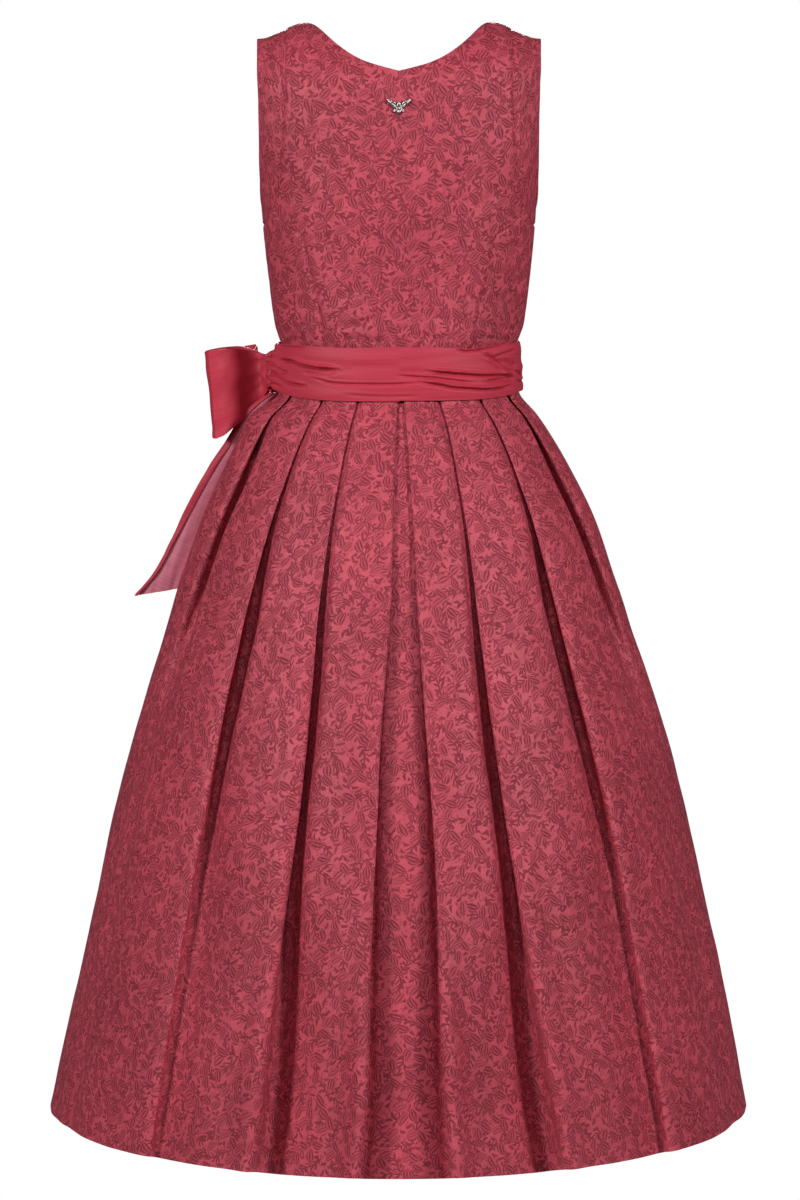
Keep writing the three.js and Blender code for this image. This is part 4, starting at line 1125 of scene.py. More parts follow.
def knot_cloth():
    """The knot: ribbon wrapped over the roots of the loops, drawn into folds along its length."""
    columns, rows = 73, 61
    _, outward, _ = bow_frame()
    u = np.linspace(1, -1, columns)[None]
    v = np.linspace(1, -1, rows)[:, None]
    along = KNOT["wide"] * u + 0 * v
    turn = np.radians(BOW["turn"] - np.degrees(along / KNOT["round"]))
    height = BOW["z"] + KNOT["high"] * v + 0 * u
    seat = np.stack([BOW["half"] * np.sin(turn), BOW["depth"] * np.cos(turn), height], -1)
    seat = seat + outward * (BOW["gap"] + 0.7)
    dome = (1 - u**4) * (1 - v**4)
    raised = KNOT["rim"] + (KNOT["height"] - KNOT["rim"] - 1) * dome ** 0.8
    grid = seat + outward * raised[..., None]
    grid[..., 2] = BOW["z"] + (grid[..., 2] - BOW["z"]) * (1 - 0.2 * dome)
    flat = flat_of(grid)
    cloth = Cloth(grid, flat, outward)
    folds = unevenness(v * 23 + 3 * u * u, u * 4, (11, 60), 52)
    cloth.move(0.9 * folds * smooth(1 - abs(u), 0, 0.25) * smooth(1 - abs(v), 0, 0.15))
    return cloth


def back_tail_cloth():
    """The tail at the side of the skirt. Its outer edge curls over and shows the ribbon's right side."""
    heights = np.linspace(BACK_TAIL.rows[-1, 0], BACK_TAIL.rows[0, 0], 92)
    inner, outer, y, curl, tip = (BACK_TAIL.at(name, heights)[:, None] for name in BACK_TAIL.names[1:])
    width = outer - inner
    radius = 1.3
    flat_steps, turn_steps, lip_steps = 26, 8, 10
    s = np.linspace(0, 1, flat_steps)
    bulge = 2.2 * np.sin(math.pi * s)
    flat_x = inner + (width - radius) * s
    flat_y = y + bulge
    a = np.linspace(0, math.pi, turn_steps + 1)[1:]
    turn_x = (outer - radius) + radius * np.sin(a)
    turn_y = y + radius * (1 - np.cos(a))
    lip = np.linspace(0, 1, lip_steps + 1)[1:]
    lip_x = turn_x[:, -1:] - curl * lip
    lip_y = turn_y[:, -1:] + 1.1 * np.sin(math.pi * lip / 2) + 0 * lip_x
    x = np.concatenate([flat_x, turn_x, lip_x], 1)
    y = np.concatenate([flat_y, turn_y, lip_y], 1)
    drop = tip * np.clip((x - inner) / width, 0, 1)
    z = heights[:, None] - drop
    grid = np.stack([x, y, z], -1)
    flat = flat_of(grid)
    facing = np.zeros(grid.shape)
    facing[:, :flat_steps, 1] = 1
    cloth = Cloth(grid, flat, facing)
    across = flat[..., 0]
    edge = smooth(across, 0, 3)
    low = smooth(-heights, 520, 610)[:, None]
    cloth.move(
        swell(across, z, (0.5, 16, 130, 71), edge)
        + swell(across, z, (0.9, 9, 120, 72), low * edge)
        + swell(across, z, (0.1, 8, 16, 73))
    )
    return cloth


def front_tail_cloth():
    """The other tail, which lies over the apron in two soft flutes."""
    tail = FRONT_TAIL
    rows, columns = 84, 41
    share = np.linspace(0, 1, rows)[:, None]
    place = np.linspace(-1, 1, columns)[None]
    top = BOW["z"] - KNOT["high"] - 0.7
    z = mix(top, tail["foot_z"], share) + 0 * place
    z = z - 12 * smooth(share, 0.9, 1) * (place + 1) / 2
    middle = mix(tail["top_turn"], tail["foot_turn"], share)
    half = mix(tail["half_top"], tail["half_foot"], share)
    turn = middle + half * place / skirt_base(middle + 0 * place, z)[2]
    base, outward, _ = skirt_base(turn, z)
    off = tail["off"] + 4 * share + (1.5 + 2.2 * share) * np.sin(1.5 * math.pi * (place + 1))
    grid = base + outward * off[..., None]
    flat = flat_of(grid)
    cloth = Cloth(grid, flat, outward)
    cloth.move(
        swell(place * 14, z, (0.8, 8, 200, 75), smooth(share, 0, 0.05) * np.exp(-share / 0.25))
        + swell(place * 20, z, (0.12, 9, 18, 76))
    )
    return cloth


# Finishes


def math_method(operation, swapped=False):
    """A method that puts a value and at most one other through a Math node."""

    def apply(self, *others):
        values = (*others, self) if swapped else (self, *others)
        return self.finish.node("ShaderNodeMath", {"operation": operation}, dict(enumerate(values)))

    return apply


class Value:
    """A socket of a material, so that shader maths reads as plain expressions."""

    def __init__(self, finish, socket):
        self.finish = finish
        self.socket = socket

    __add__ = __radd__ = math_method("ADD")
    __sub__ = math_method("SUBTRACT")
    __rsub__ = math_method("SUBTRACT", swapped=True)
    __mul__ = __rmul__ = math_method("MULTIPLY")
    __truediv__ = math_method("DIVIDE")
    __pow__ = math_method("POWER")
    __abs__ = math_method("ABSOLUTE")
    higher = math_method("MAXIMUM")
    sine = math_method("SINE")

    def clamped(self):
        settings = {"operation": "ADD", "use_clamp": True}
        return self.finish.node("ShaderNodeMath", settings, {0: self, 1: 0.0})

    def soft_step(self, low, high):
        """A share that rises softly from 0 at low to 1 at high, which may lie below low."""
        down = low > high
        settings = {"interpolation_type": "SMOOTHSTEP"}
        ends = {"From Min": min(low, high), "From Max": max(low, high)}
        shares = {"To Min": 1.0 if down else 0.0, "To Max": 0.0 if down else 1.0}
        return self.finish.node("ShaderNodeMapRange", settings, {"Value": self, **ends, **shares})


class Finish:
    """A material and its nodes."""

    def __init__(self, name, colour, metallic=0.0):
        self.material = bpy.data.materials.new(name)
        self.material.use_nodes = True
        self.material.diffuse_color = colour
        self.tree = self.material.node_tree
        self.shader = self.tree.nodes["Principled BSDF"]
        self.shader.inputs["Metallic"].default_value = metallic

    def node(self, kind, settings=None, sockets=None, output=0):
        """Adds a node with its settings and its sockets' values or links, and gives one of its outputs."""
        node = self.tree.nodes.new(kind)
        for key, value in (settings or {}).items():
            if key == "stops":
                self._stops(node.color_ramp, value)
            else:
                setattr(node, key, value)
        for key, value in (sockets or {}).items():
            self._set(node.inputs[key], value)
        return Value(self, node.outputs[output])

    def _stops(self, ramp, stops):
        while len(ramp.elements) < len(stops):
            ramp.elements.new(1.0)
        for element, (place, colour) in zip(ramp.elements, stops):
            element.position = place
            element.color = colour

    def _set(self, socket, value):
        if isinstance(value, Value):
            self.tree.links.new(value.socket, socket)
        else:
            socket.default_value = value

    def set(self, **values):
        """Sets or links the shader's own sockets, with _ for a space in a name."""
        for key, value in values.items():
            self._set(self.shader.inputs[key.replace("_", " ")], value)

    def parts(self, vector):
        """The three parts of a vector."""
        node = self.node("ShaderNodeSeparateXYZ", None, {0: vector}).socket.node
        return [Value(self, socket) for socket in node.outputs]

    def blend(self, low, high, share):
        """A colour between two colours."""
        return self.node("ShaderNodeMix", {"data_type": "RGBA"}, {0: share, 6: low, 7: high}, 2)

    def noise(self, vector, scale, detail=2.0, roughness=0.5):
        sockets = {"Vector": vector, "Scale": scale, "Detail": detail, "Roughness": roughness}
        return self.node("ShaderNodeTexNoise", {"noise_dimensions": "2D"}, sockets)

    def grain(self, scale, detail):
        """Noise that runs all through the object."""
        place = self.node("ShaderNodeTexCoord", None, None, "Object")
        return self.node("ShaderNodeTexNoise", None, {"Vector": place, "Scale": scale, "Detail": detail})

    def place(self):
        """The flat place on the cut cloth, in metres."""
        return self.node("ShaderNodeUVMap", {"uv_map": "cloth"})

    def vector(self, operation, first, second):
        return self.node("ShaderNodeVectorMath", {"operation": operation}, {0: first, 1: second})

    def stretched(self, vector, along, across):
        return self.vector("MULTIPLY", vector, (along, across, 1))

    def turned(self, vector, angle):
        settings = {"rotation_type": "Z_AXIS"}
        return self.node("ShaderNodeVectorRotate", settings, {"Vector": vector, "Angle": angle})

    def bump(self, height, strength, distance):
        sockets = {"Height": height, "Strength": strength, "Distance": distance}
        return self.node("ShaderNodeBump", None, sockets)


def sprig(finish, place, spacing, jitter, slant, turn, spread):
    """Scattered places for a motif on a slanting lattice: its own place in millimetres, turned by a random
    angle about turn, and three random numbers."""
    slanted = finish.turned(place, slant)
    settings = {"voronoi_dimensions": "2D", "feature": "F1"}
    sockets = {"Vector": slanted, "Scale": 1 / spacing, "Randomness": jitter}
    cells = finish.node("ShaderNodeTexVoronoi", settings, sockets).socket.node
    middle, colour = cells.outputs["Position"], cells.outputs["Color"]
    local = finish.vector("SUBTRACT", slanted, Value(finish, middle))
    random = finish.parts(Value(finish, colour))
    angle = (random[0] - 0.5) * spread + (turn - slant)
    x, y, _ = finish.parts(finish.stretched(finish.turned(local, angle), 1000, 1000))
    return x, y, random


def leaf(x, y, half_long, half_wide, strokes=1.0, phase=0.0):
    """A pointed leaf or bud of strokes that meet at its tips: how far inside it a point is, and how dark."""
    share = y / half_long
    width = (1 - share * share).higher(0.02) * half_wide
    across = x / width
    inside = abs(across).soft_step(1.04, 0.66) * abs(share).soft_step(1.0, 0.84)
    return inside, (across * (2 * strokes) + phase).sine().soft_step(-0.8, 0.6)


# The brocade's motifs: how far apart in metres, how loosely set, the slant of their rows, their turn and how
# far it varies
SPRIGS = {
    "bud": (0.0172, 0.76, 0.45, 0.0, 2.6),
    "blade": (0.0086, 0.85, 1.1, 0.5, 4.4),
    "stem": (0.0238, 0.7, 0.2, 0.75, 5.0),
    "dash": (0.0042, 0.75, 0.3, 0.6, 5.0),
}
# Half length and half width of their leaves and petals in millimetres
LEAVES = {"halo": (9.2, 6.9), "bud": (8.2, 5.7), "blade": (4.9, 2.0), "dash": (2.1, 1.15)}


def brocade_finish(settings):
    """Brocade: satin ground with a duller, darker all-over pattern of rosebuds, leaves and winding stems."""
    ground, motif, deep = settings.brocade_ground, settings.brocade_motif, settings.brocade_deep
    finish = Finish("brocade", ground)
    place = finish.place()
    warp = finish.node("ShaderNodeTexNoise", {"noise_dimensions": "2D"}, {"Vector": place, "Scale": 22.0}, 1)
    bend = finish.node("ShaderNodeVectorMath", {"operation": "SCALE"}, {0: warp, "Scale": 0.009})
    bent = finish.vector("ADD", place, bend)

    grain = finish.noise(place, 560.0, 1.0)
    ragged = (grain - 0.5) * 1.5

    x, y, random = sprig(finish, bent, *SPRIGS["bud"])
    curved = x + 0.024 * y * y - 0.8 + ragged
    halo, _ = leaf(curved, y, *LEAVES["halo"])
    bud, petals = leaf(curved, y, *LEAVES["bud"], 4.6 + 1.4 * random[1], random[2] * 3.14 - 1.57)

    x2, y2, _ = sprig(finish, bent, *SPRIGS["blade"])
    blade, _ = leaf(x2 + 0.07 * y2 * y2 - 0.5 + 0.6 * ragged, y2, *LEAVES["blade"])

    x3, y3, _ = sprig(finish, bent, *SPRIGS["stem"])
    wave = y3 - 3.8 * (x3 * 0.19).sine() + 0.5 * ragged
    reach = abs(x3).soft_step(17.0, 15.0)
    stem = abs(wave).soft_step(1.3, 0.5) * reach
    aside = abs(wave)
    pairs = ((x3 - 0.9 * aside) * 1.12).sine() + 0.15 - 1.1 * ((aside - 3.2) / 2.7) ** 2.0
    laurel = pairs.soft_step(0.0, 0.4) * reach

    x4, y4, _ = sprig(finish, bent, *SPRIGS["dash"])
    dash = leaf(x4, y4, *LEAVES["dash"])[0] * finish.noise(place, 75.0, 0.0).soft_step(0.42, 0.56)

    clear = 1 - halo
    dark = (
        (bud * (0.34 + 0.66 * petals) * (0.74 + 0.5 * random[0]))
        .higher(blade * clear * 0.82)
        .higher(laurel * (1 - 0.85 * bud) * 0.88)
        .higher(stem * (1 - 0.6 * bud) * 0.95)
        .higher(dash * clear * 0.6)
    )
    thread = finish.noise(finish.stretched(place, 900, 260), 1.0, 1.0)
    mottle = finish.noise(place, 9.0, 2.0)
    patch = finish.noise(place, 60.0, 1.0)
    pattern = (dark * (0.7 + 0.6 * patch) * (0.8 + 0.36 * thread)).clamped()
    colour = finish.blend(ground, motif, pattern.soft_step(-0.05, 0.82))
    colour = finish.blend(colour, deep, pattern.soft_step(0.5, 1.0) * 0.75)
    shade = (mottle - 0.5) * 0.34 + (thread - 0.5) * 0.4 + (patch - 0.5) * 0.3 + (grain - 0.5) * 0.3
    tone = finish.node("ShaderNodeHueSaturation", None, {"Value": 1 + shade, "Color": colour})
    u, v, _ = finish.parts(finish.stretched(place, 1000, 1000))
    weave = ((u + v) * 5.2).sine() * 0.16 + thread * 0.5
    finish.set(
        Base_Color=tone,
        Roughness=0.5 + 0.2 * pattern,
        Normal=finish.bump(weave - pattern * 0.9, 0.35, 0.0004),
        Specular_IOR_Level=0.25,
        Sheen_Weight=0.03,
        Sheen_Roughness=0.4,
        Sheen_Tint=settings.sheen_tint,
    )
    return finish.material


def satin_finish(name, settings, colour, shadow, sheen):
    """Satin: fine threads along the ribbon, faint slubs and a soft gloss."""
    finish = Finish(name, colour)
    place = finish.place()
    slubs = finish.noise(finish.stretched(place, 16, 620), 1.0, 2.0)
    threads = finish.noise(finish.stretched(place, 120, 2600), 1.0, 1.0)
    cloud = finish.noise(place, 24.0, 2.0)
    shade = (0.55 * slubs + 0.25 * threads + 0.2 * cloud).soft_step(0.3, 0.7)
    finish.set(
        Base_Color=finish.blend(shadow, colour, shade),
        Roughness=0.44 + 0.14 * slubs,
        Normal=finish.bump(slubs * 0.6 + threads * 0.5 + cloud * 0.5, 0.28, 0.0004),
        Specular_IOR_Level=0.2,
        Anisotropic=0.35,
        Sheen_Weight=sheen,
        Sheen_Roughness=0.4,
        Sheen_Tint=settings.sheen_tint,
    )
    return finish.material


def silver_finish(settings):
    """Old silver, with fine casting grain and a little tarnish."""
    finish = Finish("silver", settings.silver, 1.0)
    grain = finish.grain(900.0, 3.0)
    finish.set(
        Base_Color=finish.blend((0.3, 0.26, 0.25, 1), tuple(settings.silver), grain.soft_step(0.3, 0.55)),
        Roughness=0.24 + 0.2 * grain,
        Normal=finish.bump(grain, 0.15, 0.0002),
    )
    return finish.material


def thread_finish(name, settings, colour):
    """Sewing thread in the colour of its cloth."""
    finish = Finish(name, colour)
    twist = finish.grain(1400.0, 1.0)
    low = (*(part * 0.75 for part in colour[:3]), 1)
    finish.set(Base_Color=finish.blend(low, tuple(colour), twist), Roughness=0.6, Specular_IOR_Level=0.2)
    return finish.material


def stage_finish(settings):
    """The pale paper that the floor is covered with."""
    finish = Finish("pale_floor", (0.9, 0.9, 0.9, 1))
    paper = finish.blend((0.86, 0.85, 0.84, 1), (0.9, 0.89, 0.88, 1), finish.grain(3.0, 2.0))
    finish.set(Base_Color=paper, Roughness=0.9)
    return finish.material


FINISHES = {}


def finish_named(name, settings):
    """A finish, made the first time that a piece asks for it."""
    makers = {
        "brocade": lambda: brocade_finish(settings),
        "satin": lambda: satin_finish("satin", settings, settings.satin, settings.satin_shadow, 0.04),
        "satin_wrong_side": lambda: satin_finish(
            "satin_wrong_side", settings, settings.satin_back, settings.satin_back_shadow, 0.1
        ),
        "silver": lambda: silver_finish(settings),
        "brocade_thread": lambda: thread_finish("brocade_thread", settings, settings.brocade_thread),
        "satin_thread": lambda: thread_finish("satin_thread", settings, settings.satin_shadow),
        "floor": lambda: stage_finish(settings),
    }
    if name not in FINISHES:
        FINISHES[name] = makers[name]()
    return FINISHES[name]


# Stitches


def beside(cloth, edge, inset, lift, part=slice(None)):
    """A path over a cloth at one distance from an edge: top, bottom, left or right."""
    grid, normals = cloth.grid, cloth.normals
    if edge in ("top", "bottom"):
        grid, normals = grid.swapaxes(0, 1), normals.swapaxes(0, 1)
    if edge in ("bottom", "right"):
        grid, normals = grid[:, ::-1], normals[:, ::-1]
    grid, normals = grid[part], normals[part]
    along = lengths(grid, 1)
    raised = grid + normals * lift
    path = np.array([
        [np.interp(inset, along[row], raised[row, :, k]) for k in range(3)] for row in range(len(grid))
    ])
    return np.concatenate([path, path[:1]]) if cloth.closed else path


def stitch_tree():
    """Geometry Nodes that lay a stitch at every pitch along the paths of a mesh."""
    tree = bpy.data.node_groups.new("stitches", "GeometryNodeTree")
    kinds = {
        "Paths": "Geometry", "Length": "Float", "Pitch": "Float", "Thread": "Float", "Seed": "Int",
        "Finish": "Material",
    }
    for name, kind in kinds.items():
        tree.interface.new_socket(name, in_out="INPUT", socket_type="NodeSocket" + kind)
    tree.interface.new_socket("Stitches", in_out="OUTPUT", socket_type="NodeSocketGeometry")

    def add(kind, settings=None, **links):
        node = tree.nodes.new(kind)
        for key, value in (settings or {}).items():
            setattr(node, key, value)
        for key, value in links.items():
            socket = node.inputs[key.replace("_", " ")]
            if isinstance(value, bpy.types.NodeSocket):
                tree.links.new(value, socket)
            else:
                socket.default_value = value
        return node

    given = add("NodeGroupInput").outputs
    curve = add("GeometryNodeMeshToCurve", Mesh=given["Paths"]).outputs[0]
    even = add("GeometryNodeResampleCurve", {"mode": "LENGTH"}, Curve=curve, Length=given["Pitch"]).outputs[0]
    points = add("GeometryNodeCurveToPoints", {"mode": "EVALUATED"}, Curve=even).outputs
    bead = add("GeometryNodeMeshUVSphere", Segments=6, Rings=4, Radius=0.5).outputs[0]
    size = add("ShaderNodeCombineXYZ", X=given["Thread"], Y=given["Thread"], Z=given["Length"]).outputs[0]
    stitch = add("GeometryNodeTransform", Geometry=bead, Scale=size).outputs[0]
    uneven = add(
        "FunctionNodeRandomValue", {"data_type": "FLOAT_VECTOR"}, Min=(0.9, 0.9, 0.85), Max=(1.1, 1.1, 1.08),
        Seed=given["Seed"],
    ).outputs[0]
    laid = add(
        "GeometryNodeInstanceOnPoints", Points=points["Points"], Instance=stitch, Rotation=points["Rotation"],
        Scale=uneven,
    ).outputs[0]
    real = add("GeometryNodeRealizeInstances", Geometry=laid).outputs[0]
    last = add("GeometryNodeSetMaterial", Geometry=real, Material=given["Finish"]).outputs[0]
    add("NodeGroupOutput", Stitches=last)
    return tree


def stitched(name, paths, finish, seed, settings):
    """Lays stitches along paths given in millimetres, as one finished piece."""
    points, edges = [], []
    for path in paths:
        edges += [(len(points) + k, len(points) + k + 1) for k in range(len(path) - 1)]
        points += (np.array(path) * MM).tolist()
    mesh = bpy.data.meshes.new(name)
    mesh.from_pydata(points, edges, [])
    piece = placed(name, mesh)
    modifier = piece.modifiers.new("stitches", "NODES")
    modifier.node_group = bpy.data.node_groups.get("stitches") or stitch_tree()
    values = {
        "Length": settings.stitch_length,
        "Pitch": settings.stitch_pitch,
        "Thread": settings.thread,
        "Seed": seed,
        "Finish": finish,
    }
    for item in modifier.node_group.interface.items_tree:
        if item.in_out == "INPUT" and item.name in values:
            modifier[item.identifier] = values[item.name]
    evaluated = piece.evaluated_get(bpy.context.evaluated_depsgraph_get())
    plain = bpy.data.meshes.new_from_object(evaluated)
    piece.modifiers.clear()
    piece.data = plain
    smoothed(plain)
    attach(piece, "root")


# The ornament


def petal(middle, half, angle, height, groove):
    """A closed dome over an oval, pointed at its far end, with a groove down its middle: points and faces."""
    rings, spokes = 7, 24
    turn = np.linspace(0, 2 * math.pi, spokes, endpoint=False)
    share = np.linspace(1, 0, rings)[:, None]
    long = half[0] * share * np.cos(turn)
    wide = half[1] * share * np.sin(turn) * (1 - 0.3 * share * np.cos(turn))
    rise = height * np.sqrt(np.clip(1 - share**2, 0, 1)) + 0 * turn
    rise -= groove * np.exp(-((wide / (0.3 * half[1])) ** 2)) * np.sqrt(share) * (1 - share**4)
    x = middle[0] + long * math.cos(angle) - wide * math.sin(angle)
    z = middle[1] + long * math.sin(angle) + wide * math.cos(angle)
    top = np.stack([x, rise, z], -1)
    foot = top[:1] * (1, 0, 1) - (0, ORNAMENT["sunk"], 0)
    points = np.concatenate([foot, top[:-1]]).reshape(-1, 3)
    points = np.concatenate([points, top[-1, :1]])
    faces = [list(range(spokes))]
    for ring in range(rings - 1):
        for k in range(spokes):
            a, b = ring * spokes + k, ring * spokes + (k + 1) % spokes
            faces.append([a, a + spokes, b + spokes, b])
    last = (rings - 1) * spokes
    faces += [[last + k, len(points) - 1, last + (k + 1) % spokes] for k in range(spokes)]
    return points, faces


def ornament_mesh(middle, seat):
    """The cast flower between two leaves, on its seat over the cloth."""
    made = [petal((0, 0), ORNAMENT["boss"], 0.0, 1.9, 0.0)]
    turns = [math.pi / 2 + 2 * math.pi * k / ORNAMENT["petals"] for k in range(ORNAMENT["petals"])]
    parts = [("ring", "petal", turn, 1.3, 0.7) for turn in turns]
    leaf_turn = ORNAMENT["leaf_turn"]
    parts += [("leaf_ring", "leaf", turn, 1.2, 0.8) for turn in (leaf_turn, math.pi - leaf_turn)]
    for ring, size, angle, height, groove in parts:
        place = (ORNAMENT[ring] * math.cos(angle), ORNAMENT[ring] * math.sin(angle))
        made.append(petal(place, ORNAMENT[size], angle, height, groove))
    points, faces = [], []
    for part, part_faces in made:
        faces += [[index + len(points) for index in face] for face in part_faces]
        points += ((part + (middle[0], seat, middle[1])) * MM).tolist()
    mesh = bpy.data.meshes.new("ornament_relief")
    mesh.from_pydata(points, [], faces)
    smoothed(mesh, METAL_SHARP)
    return mesh


# What a user would change


def colour_field(name, description, default):
    return bpy.props.FloatVectorProperty(
        name=name, description=description, subtype="COLOR", size=4, default=default
    )


def number_field(name, description, default, **kind):
    return bpy.props.FloatProperty(name=name, description=description, default=default, **kind)


class DirndlSettings(bpy.types.PropertyGroup):
    """Sizes and colours of the dirndl and its studio."""

    cloth_thickness: number_field("Cloth", "Thickness of the brocade", 0.0009, unit="LENGTH")
    satin_thickness: number_field("Satin", "Thickness of the satin", 0.0006, unit="LENGTH")
    brocade_ground: colour_field("Ground", "Colour of the brocade's ground", (0.53, 0.071, 0.103, 1))
    brocade_motif: colour_field("Motif", "Colour of the brocade's pattern", (0.36, 0.042, 0.066, 1))
    brocade_deep: colour_field("Strokes", "Colour of the pattern's darkest strokes", (0.16, 0.014, 0.026, 1))
    satin: colour_field("Satin", "Colour of the apron, band and bow", (0.52, 0.039, 0.068, 1))
    satin_shadow: colour_field("Satin threads", "Darker threads of the satin", (0.44, 0.031, 0.056, 1))
    satin_back: colour_field("Wrong side", "Colour of the satin's wrong side", (0.66, 0.2, 0.27, 1))
    satin_back_shadow: colour_field(
        "Wrong side threads", "Darker threads of the wrong side", (0.54, 0.15, 0.21, 1)
    )
    brocade_thread: colour_field("Thread", "Colour of the brocade's sewing thread", (0.42, 0.055, 0.085, 1))
    sheen_tint: colour_field("Sheen", "Colour of the cloth's sheen", (0.9, 0.68, 0.74, 1))
    silver: colour_field("Silver", "Colour of the ornament", (0.5, 0.47, 0.46, 1))
    stitch_length: number_field("Stitch", "Length of a stitch", 0.0022, unit="LENGTH")
    stitch_pitch: number_field("Pitch", "From one stitch to the next", 0.0034, unit="LENGTH")
    thread: number_field("Thread", "Thickness of the sewing thread", 0.00045, unit="LENGTH")
    camera_distance: number_field("Distance", "From the camera to the dirndl", 5.0, unit="LENGTH")
    camera_pitch: number_field(
        "Pitch down", "How far the camera looks down", math.radians(7.115), subtype="ANGLE"
    )
    camera_lens: number_field("Lens", "Focal length in millimetres", 138.7)
    key_power: number_field("Key", "Power of the light behind the dress", 10.0)
    side_power: number_field("Sides", "Power of each light to its sides", 34.0)
    fill_power: number_field("Fill", "Power of the light before the dress", 60.0)
    world_light: number_field("Room", "Strength of the light from all round", 0.05)
    floor_radius: number_field("Floor radius", "How far the floor reaches", 0.82, unit="LENGTH")
    floor_drop: number_field("Floor", "How far the floor lies under the hem", 0.33, unit="LENGTH")


def settings_of(context):
    return context.scene.dirndl_settings


# Operators


class DIRNDL_OT_bodice(bpy.types.Operator):
    """Sew the seven panels of the bodice"""

    bl_idname = "dirndl.bodice"
    bl_label = "Bodice"

    def execute(self, context):
        settings = settings_of(context)
        for name, cloth in bodice_cloths().items():
            sew(settings, cloth, name, ["brocade"])
        return {"FINISHED"}


class DIRNDL_OT_armhole_bands(bpy.types.Operator):
    """Sew the band round each armhole"""

    bl_idname = "dirndl.armhole_bands"
    bl_label = "Armhole bands"

    def execute(self, context):
        settings = settings_of(context)
        for side, word in ((1, "left"), (-1, "right")):
            sew(settings, armhole_band(side), f"armhole_band_{word}", ["brocade"])
        return {"FINISHED"}


class DIRNDL_OT_skirt(bpy.types.Operator):
    """Pleat the skirt and sew its four pieces"""

    bl_idname = "dirndl.skirt"
    bl_label = "Skirt"

    def execute(self, context):
        settings = settings_of(context)
        for name, cloth in skirt_cloths().items():
            sew(settings, cloth, name, ["brocade"])
        return {"FINISHED"}


class DIRNDL_OT_apron(bpy.types.Operator):
    """Gather the apron and tie its band round the waist"""

    bl_idname = "dirndl.apron"
    bl_label = "Apron and band"

    def execute(self, context):
        settings = settings_of(context)
        sew(settings, apron_cloth(), "apron_panel", ["satin"])
        sew(settings, waistband_cloth(), "apron_waistband", ["satin"])
        return {"FINISHED"}


class DIRNDL_OT_bow(bpy.types.Operator):
    """Tie the bow: its knot, two loops and two tails"""

    bl_idname = "dirndl.bow"
    bl_label = "Bow"

    def execute(self, context):
        settings = settings_of(context)
        right, wrong = "satin", "satin_wrong_side"
        sew(settings, knot_cloth(), "bow_knot", [right])
        for name, side, scale, seed in (("back", 1, 1, 91), ("front", -1, 0.97, 95)):
            cloth = loop_cloth(side, scale, seed)
            sew(settings, cloth, f"bow_loop_{name}", [right, right])
        sew(settings, back_tail_cloth(), "bow_tail_back", [wrong, right])
        sew(settings, front_tail_cloth(), "bow_tail_front", [right, wrong])
        return {"FINISHED"}


class DIRNDL_OT_stitches(bpy.types.Operator):
    """Sew the stitches along the neckline, armholes, seams and hems"""

    bl_idname = "dirndl.stitches"
    bl_label = "Stitches"

    def execute(self, context):
        settings = settings_of(context)
        cloth_lift = settings.cloth_thickness / MM / 2
        satin_lift = settings.satin_thickness / MM / 2
        ridge = 2 * FINE
        neck = slice(ridge, -ridge)
        bodice = [
            beside(SEWN["bodice_back"], "top", NECK_STITCH, cloth_lift, neck),
            *(beside(SEWN["bodice_back"], edge, SEAM_STITCH, cloth_lift) for edge in ("left", "right")),
        ]
        front_neck = slice(0, FRONT_NECK_STEPS * FINE)
        for word in ("left", "right"):
            front = SEWN[f"bodice_front_{word}"]
            bodice.append(beside(front, "left", NECK_STITCH, cloth_lift, front_neck))
            bodice.append(beside(front, "right", SEAM_STITCH, cloth_lift))
        bands = [
            beside(SEWN[f"armhole_band_{word}"], edge, inset, cloth_lift)
            for word in ("left", "right")
            for edge, inset in (("top", ARMHOLE_STITCH), ("bottom", SEAM_STITCH))
        ]
        quarters = [f"skirt_{end}_{word}" for end in ("front", "back") for word in ("left", "right")]
        hem = [beside(SEWN[name], "bottom", HEM_STITCH, cloth_lift) for name in quarters]
        edges = ("left", "right", "bottom")
        apron = [beside(SEWN["apron_panel"], edge, APRON_STITCH, satin_lift) for edge in edges]
        for name, paths, slot in (
            ("bodice", bodice, "brocade"),
            ("armholes", bands, "brocade"),
            ("hem", hem, "brocade"),
            ("apron", apron, "satin"),
        ):
            thread = finish_named(f"{slot}_thread", settings)
            stitched(f"stitches_{name}", paths, thread, STITCH_SEED, settings)
        return {"FINISHED"}


class DIRNDL_OT_ornament(bpy.types.Operator):
    """Cast the silver ornament"""

    bl_idname = "dirndl.ornament"
    bl_label = "Ornament"

    def execute(self, context):
        settings = settings_of(context)
        low, high = np.array(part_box("ornament")) / MM
        middle = (low + high) / 2
        mesh = ornament_mesh((middle[0], middle[2] + ORNAMENT["raise"]), high[1] - 1.0)
        mesh.materials.append(finish_named("silver", settings))
        piece = placed("ornament_relief", mesh)
        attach(piece, "root")
        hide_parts("ornament")
        return {"FINISHED"}


# Where the studio's lights aim, the angle of their beams in degrees, and how far the camera stands aside
LIGHT_AIM = (0, 0, -0.4)
LIGHT_SPREAD = 85
CAMERA_ASIDE = -0.0011


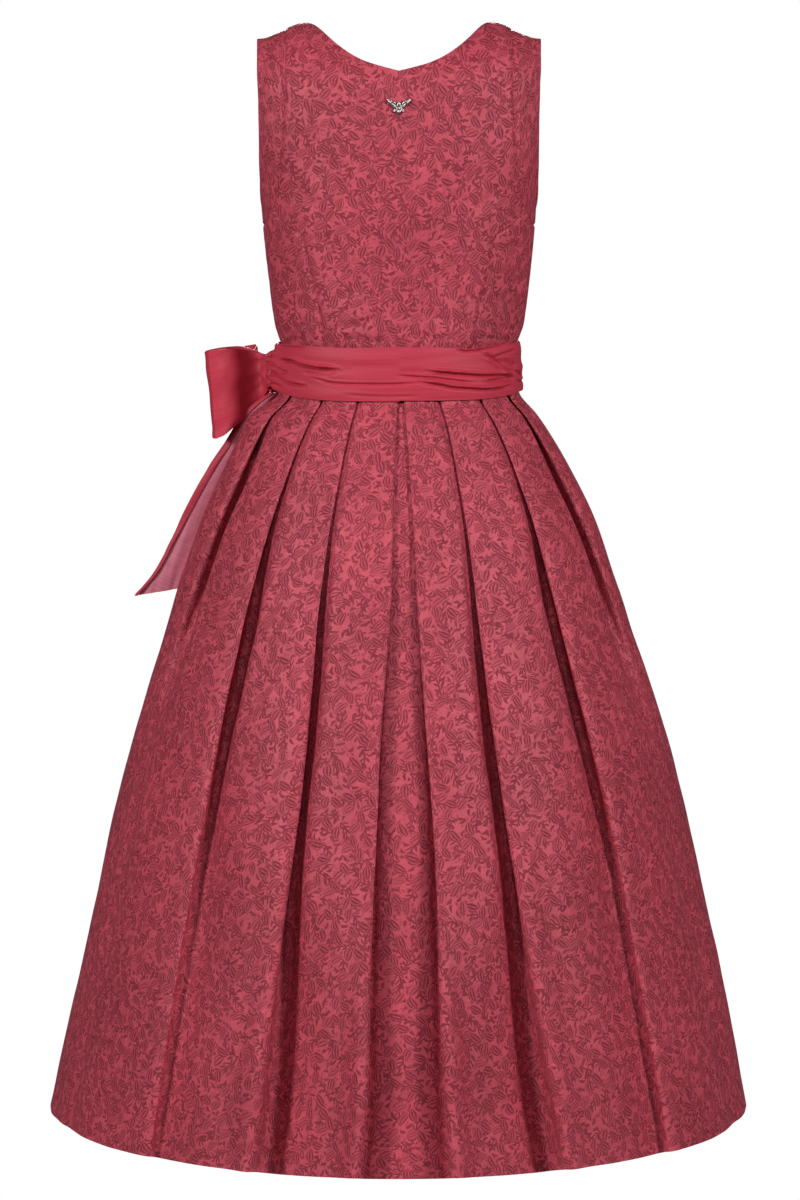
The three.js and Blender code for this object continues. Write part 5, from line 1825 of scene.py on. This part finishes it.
class DIRNDL_OT_studio(bpy.types.Operator):
    """Set up the pale floor, the soft lights and the camera"""

    bl_idname = "dirndl.studio"
    bl_label = "Studio"

    def execute(self, context):
        settings = settings_of(context)
        self.lay_floor(context, settings)
        self.hang_lights(context, settings)
        self.stand_camera(context, settings)
        context.scene.view_settings.view_transform = "Standard"
        return {"FINISHED"}

    def lay_floor(self, context, settings):
        level = CAD_BOX[0][2] - settings.floor_drop
        steps = np.linspace(0, 2 * math.pi, 96, endpoint=False)
        reach = settings.floor_radius
        points = [(reach * math.sin(a), reach * math.cos(a), level) for a in steps]
        mesh = bpy.data.meshes.new("pale_floor")
        mesh.from_pydata(points, [], [list(range(len(points)))[::-1]])
        mesh.materials.append(finish_named("floor", settings))
        placed("pale_floor", mesh)

    def hang_lights(self, context, settings):
        world = bpy.data.worlds.new("studio")
        world.use_nodes = True
        context.scene.world = world
        tree = world.node_tree
        room = tree.nodes["Background"]
        seen = tree.nodes.new("ShaderNodeBackground")
        for background, strength in ((room, settings.world_light), (seen, 1.0)):
            background.inputs["Color"].default_value = (1, 1, 1, 1)
            background.inputs["Strength"].default_value = strength
        path = tree.nodes.new("ShaderNodeLightPath")
        choice = tree.nodes.new("ShaderNodeMixShader")
        tree.links.new(path.outputs["Is Camera Ray"], choice.inputs[0])
        tree.links.new(room.outputs[0], choice.inputs[1])
        tree.links.new(seen.outputs[0], choice.inputs[2])
        tree.links.new(choice.outputs[0], tree.nodes["World Output"].inputs["Surface"])
        lights = [
            ("high_key", (0.0, 4.4, 2.2), 1.5, settings.key_power),
            ("left_key", (3.6, 3.4, 1.1), 1.1, settings.side_power),
            ("right_key", (-3.6, 3.4, 1.3), 1.1, settings.side_power),
            ("front_fill", (0.0, -5.0, 0.4), 1.6, settings.fill_power),
        ]
        for name, place, size, power in lights:
            light = bpy.data.lights.new(name, "AREA")
            light.shape = "DISK"
            light.size = size
            light.energy = power
            light.spread = math.radians(LIGHT_SPREAD)
            lamp = placed(name, light)
            lamp.location = place
            aim = np.array(LIGHT_AIM) - np.array(place)
            flat = math.hypot(aim[0], aim[1])
            lamp.rotation_euler = (math.atan2(flat, -aim[2]), 0, math.atan2(aim[1], aim[0]) - math.pi / 2)

    def stand_camera(self, context, settings):
        camera = bpy.data.cameras.new("camera")
        camera.lens = settings.camera_lens
        camera.sensor_width = 36
        camera.clip_end = 60
        stand = placed("camera", camera)
        stand.location = (CAMERA_ASIDE, settings.camera_distance, 0)
        stand.rotation_euler = (math.pi / 2 - settings.camera_pitch, 0, math.pi)
        context.scene.camera = stand


class DIRNDL_PT_panel(bpy.types.Panel):
    """Lists what makes the dirndl"""

    bl_label = "Dirndl"
    bl_idname = "DIRNDL_PT_panel"
    bl_space_type = "VIEW_3D"
    bl_region_type = "UI"
    bl_category = "Dirndl"

    def draw(self, context):
        settings = settings_of(context)
        for name in DirndlSettings.__annotations__:
            self.layout.prop(settings, name)
        for operator in OPERATORS:
            self.layout.operator(operator.bl_idname)


OPERATORS = (
    DIRNDL_OT_studio,
    DIRNDL_OT_bodice,
    DIRNDL_OT_armhole_bands,
    DIRNDL_OT_skirt,
    DIRNDL_OT_apron,
    DIRNDL_OT_bow,
    DIRNDL_OT_stitches,
    DIRNDL_OT_ornament,
)
CLASSES = (DirndlSettings, *OPERATORS, DIRNDL_PT_panel)


def register():
    for cls in CLASSES:
        bpy.utils.register_class(cls)
    bpy.types.Scene.dirndl_settings = bpy.props.PointerProperty(type=DirndlSettings)


def unregister():
    del bpy.types.Scene.dirndl_settings
    for cls in reversed(CLASSES):
        bpy.utils.unregister_class(cls)


def main():
    """Makes the dirndl and its studio."""
    register()
    for operator in OPERATORS:
        getattr(bpy.ops.dirndl, operator.bl_idname.split(".")[1])()


if __name__ == "__main__":
    main()
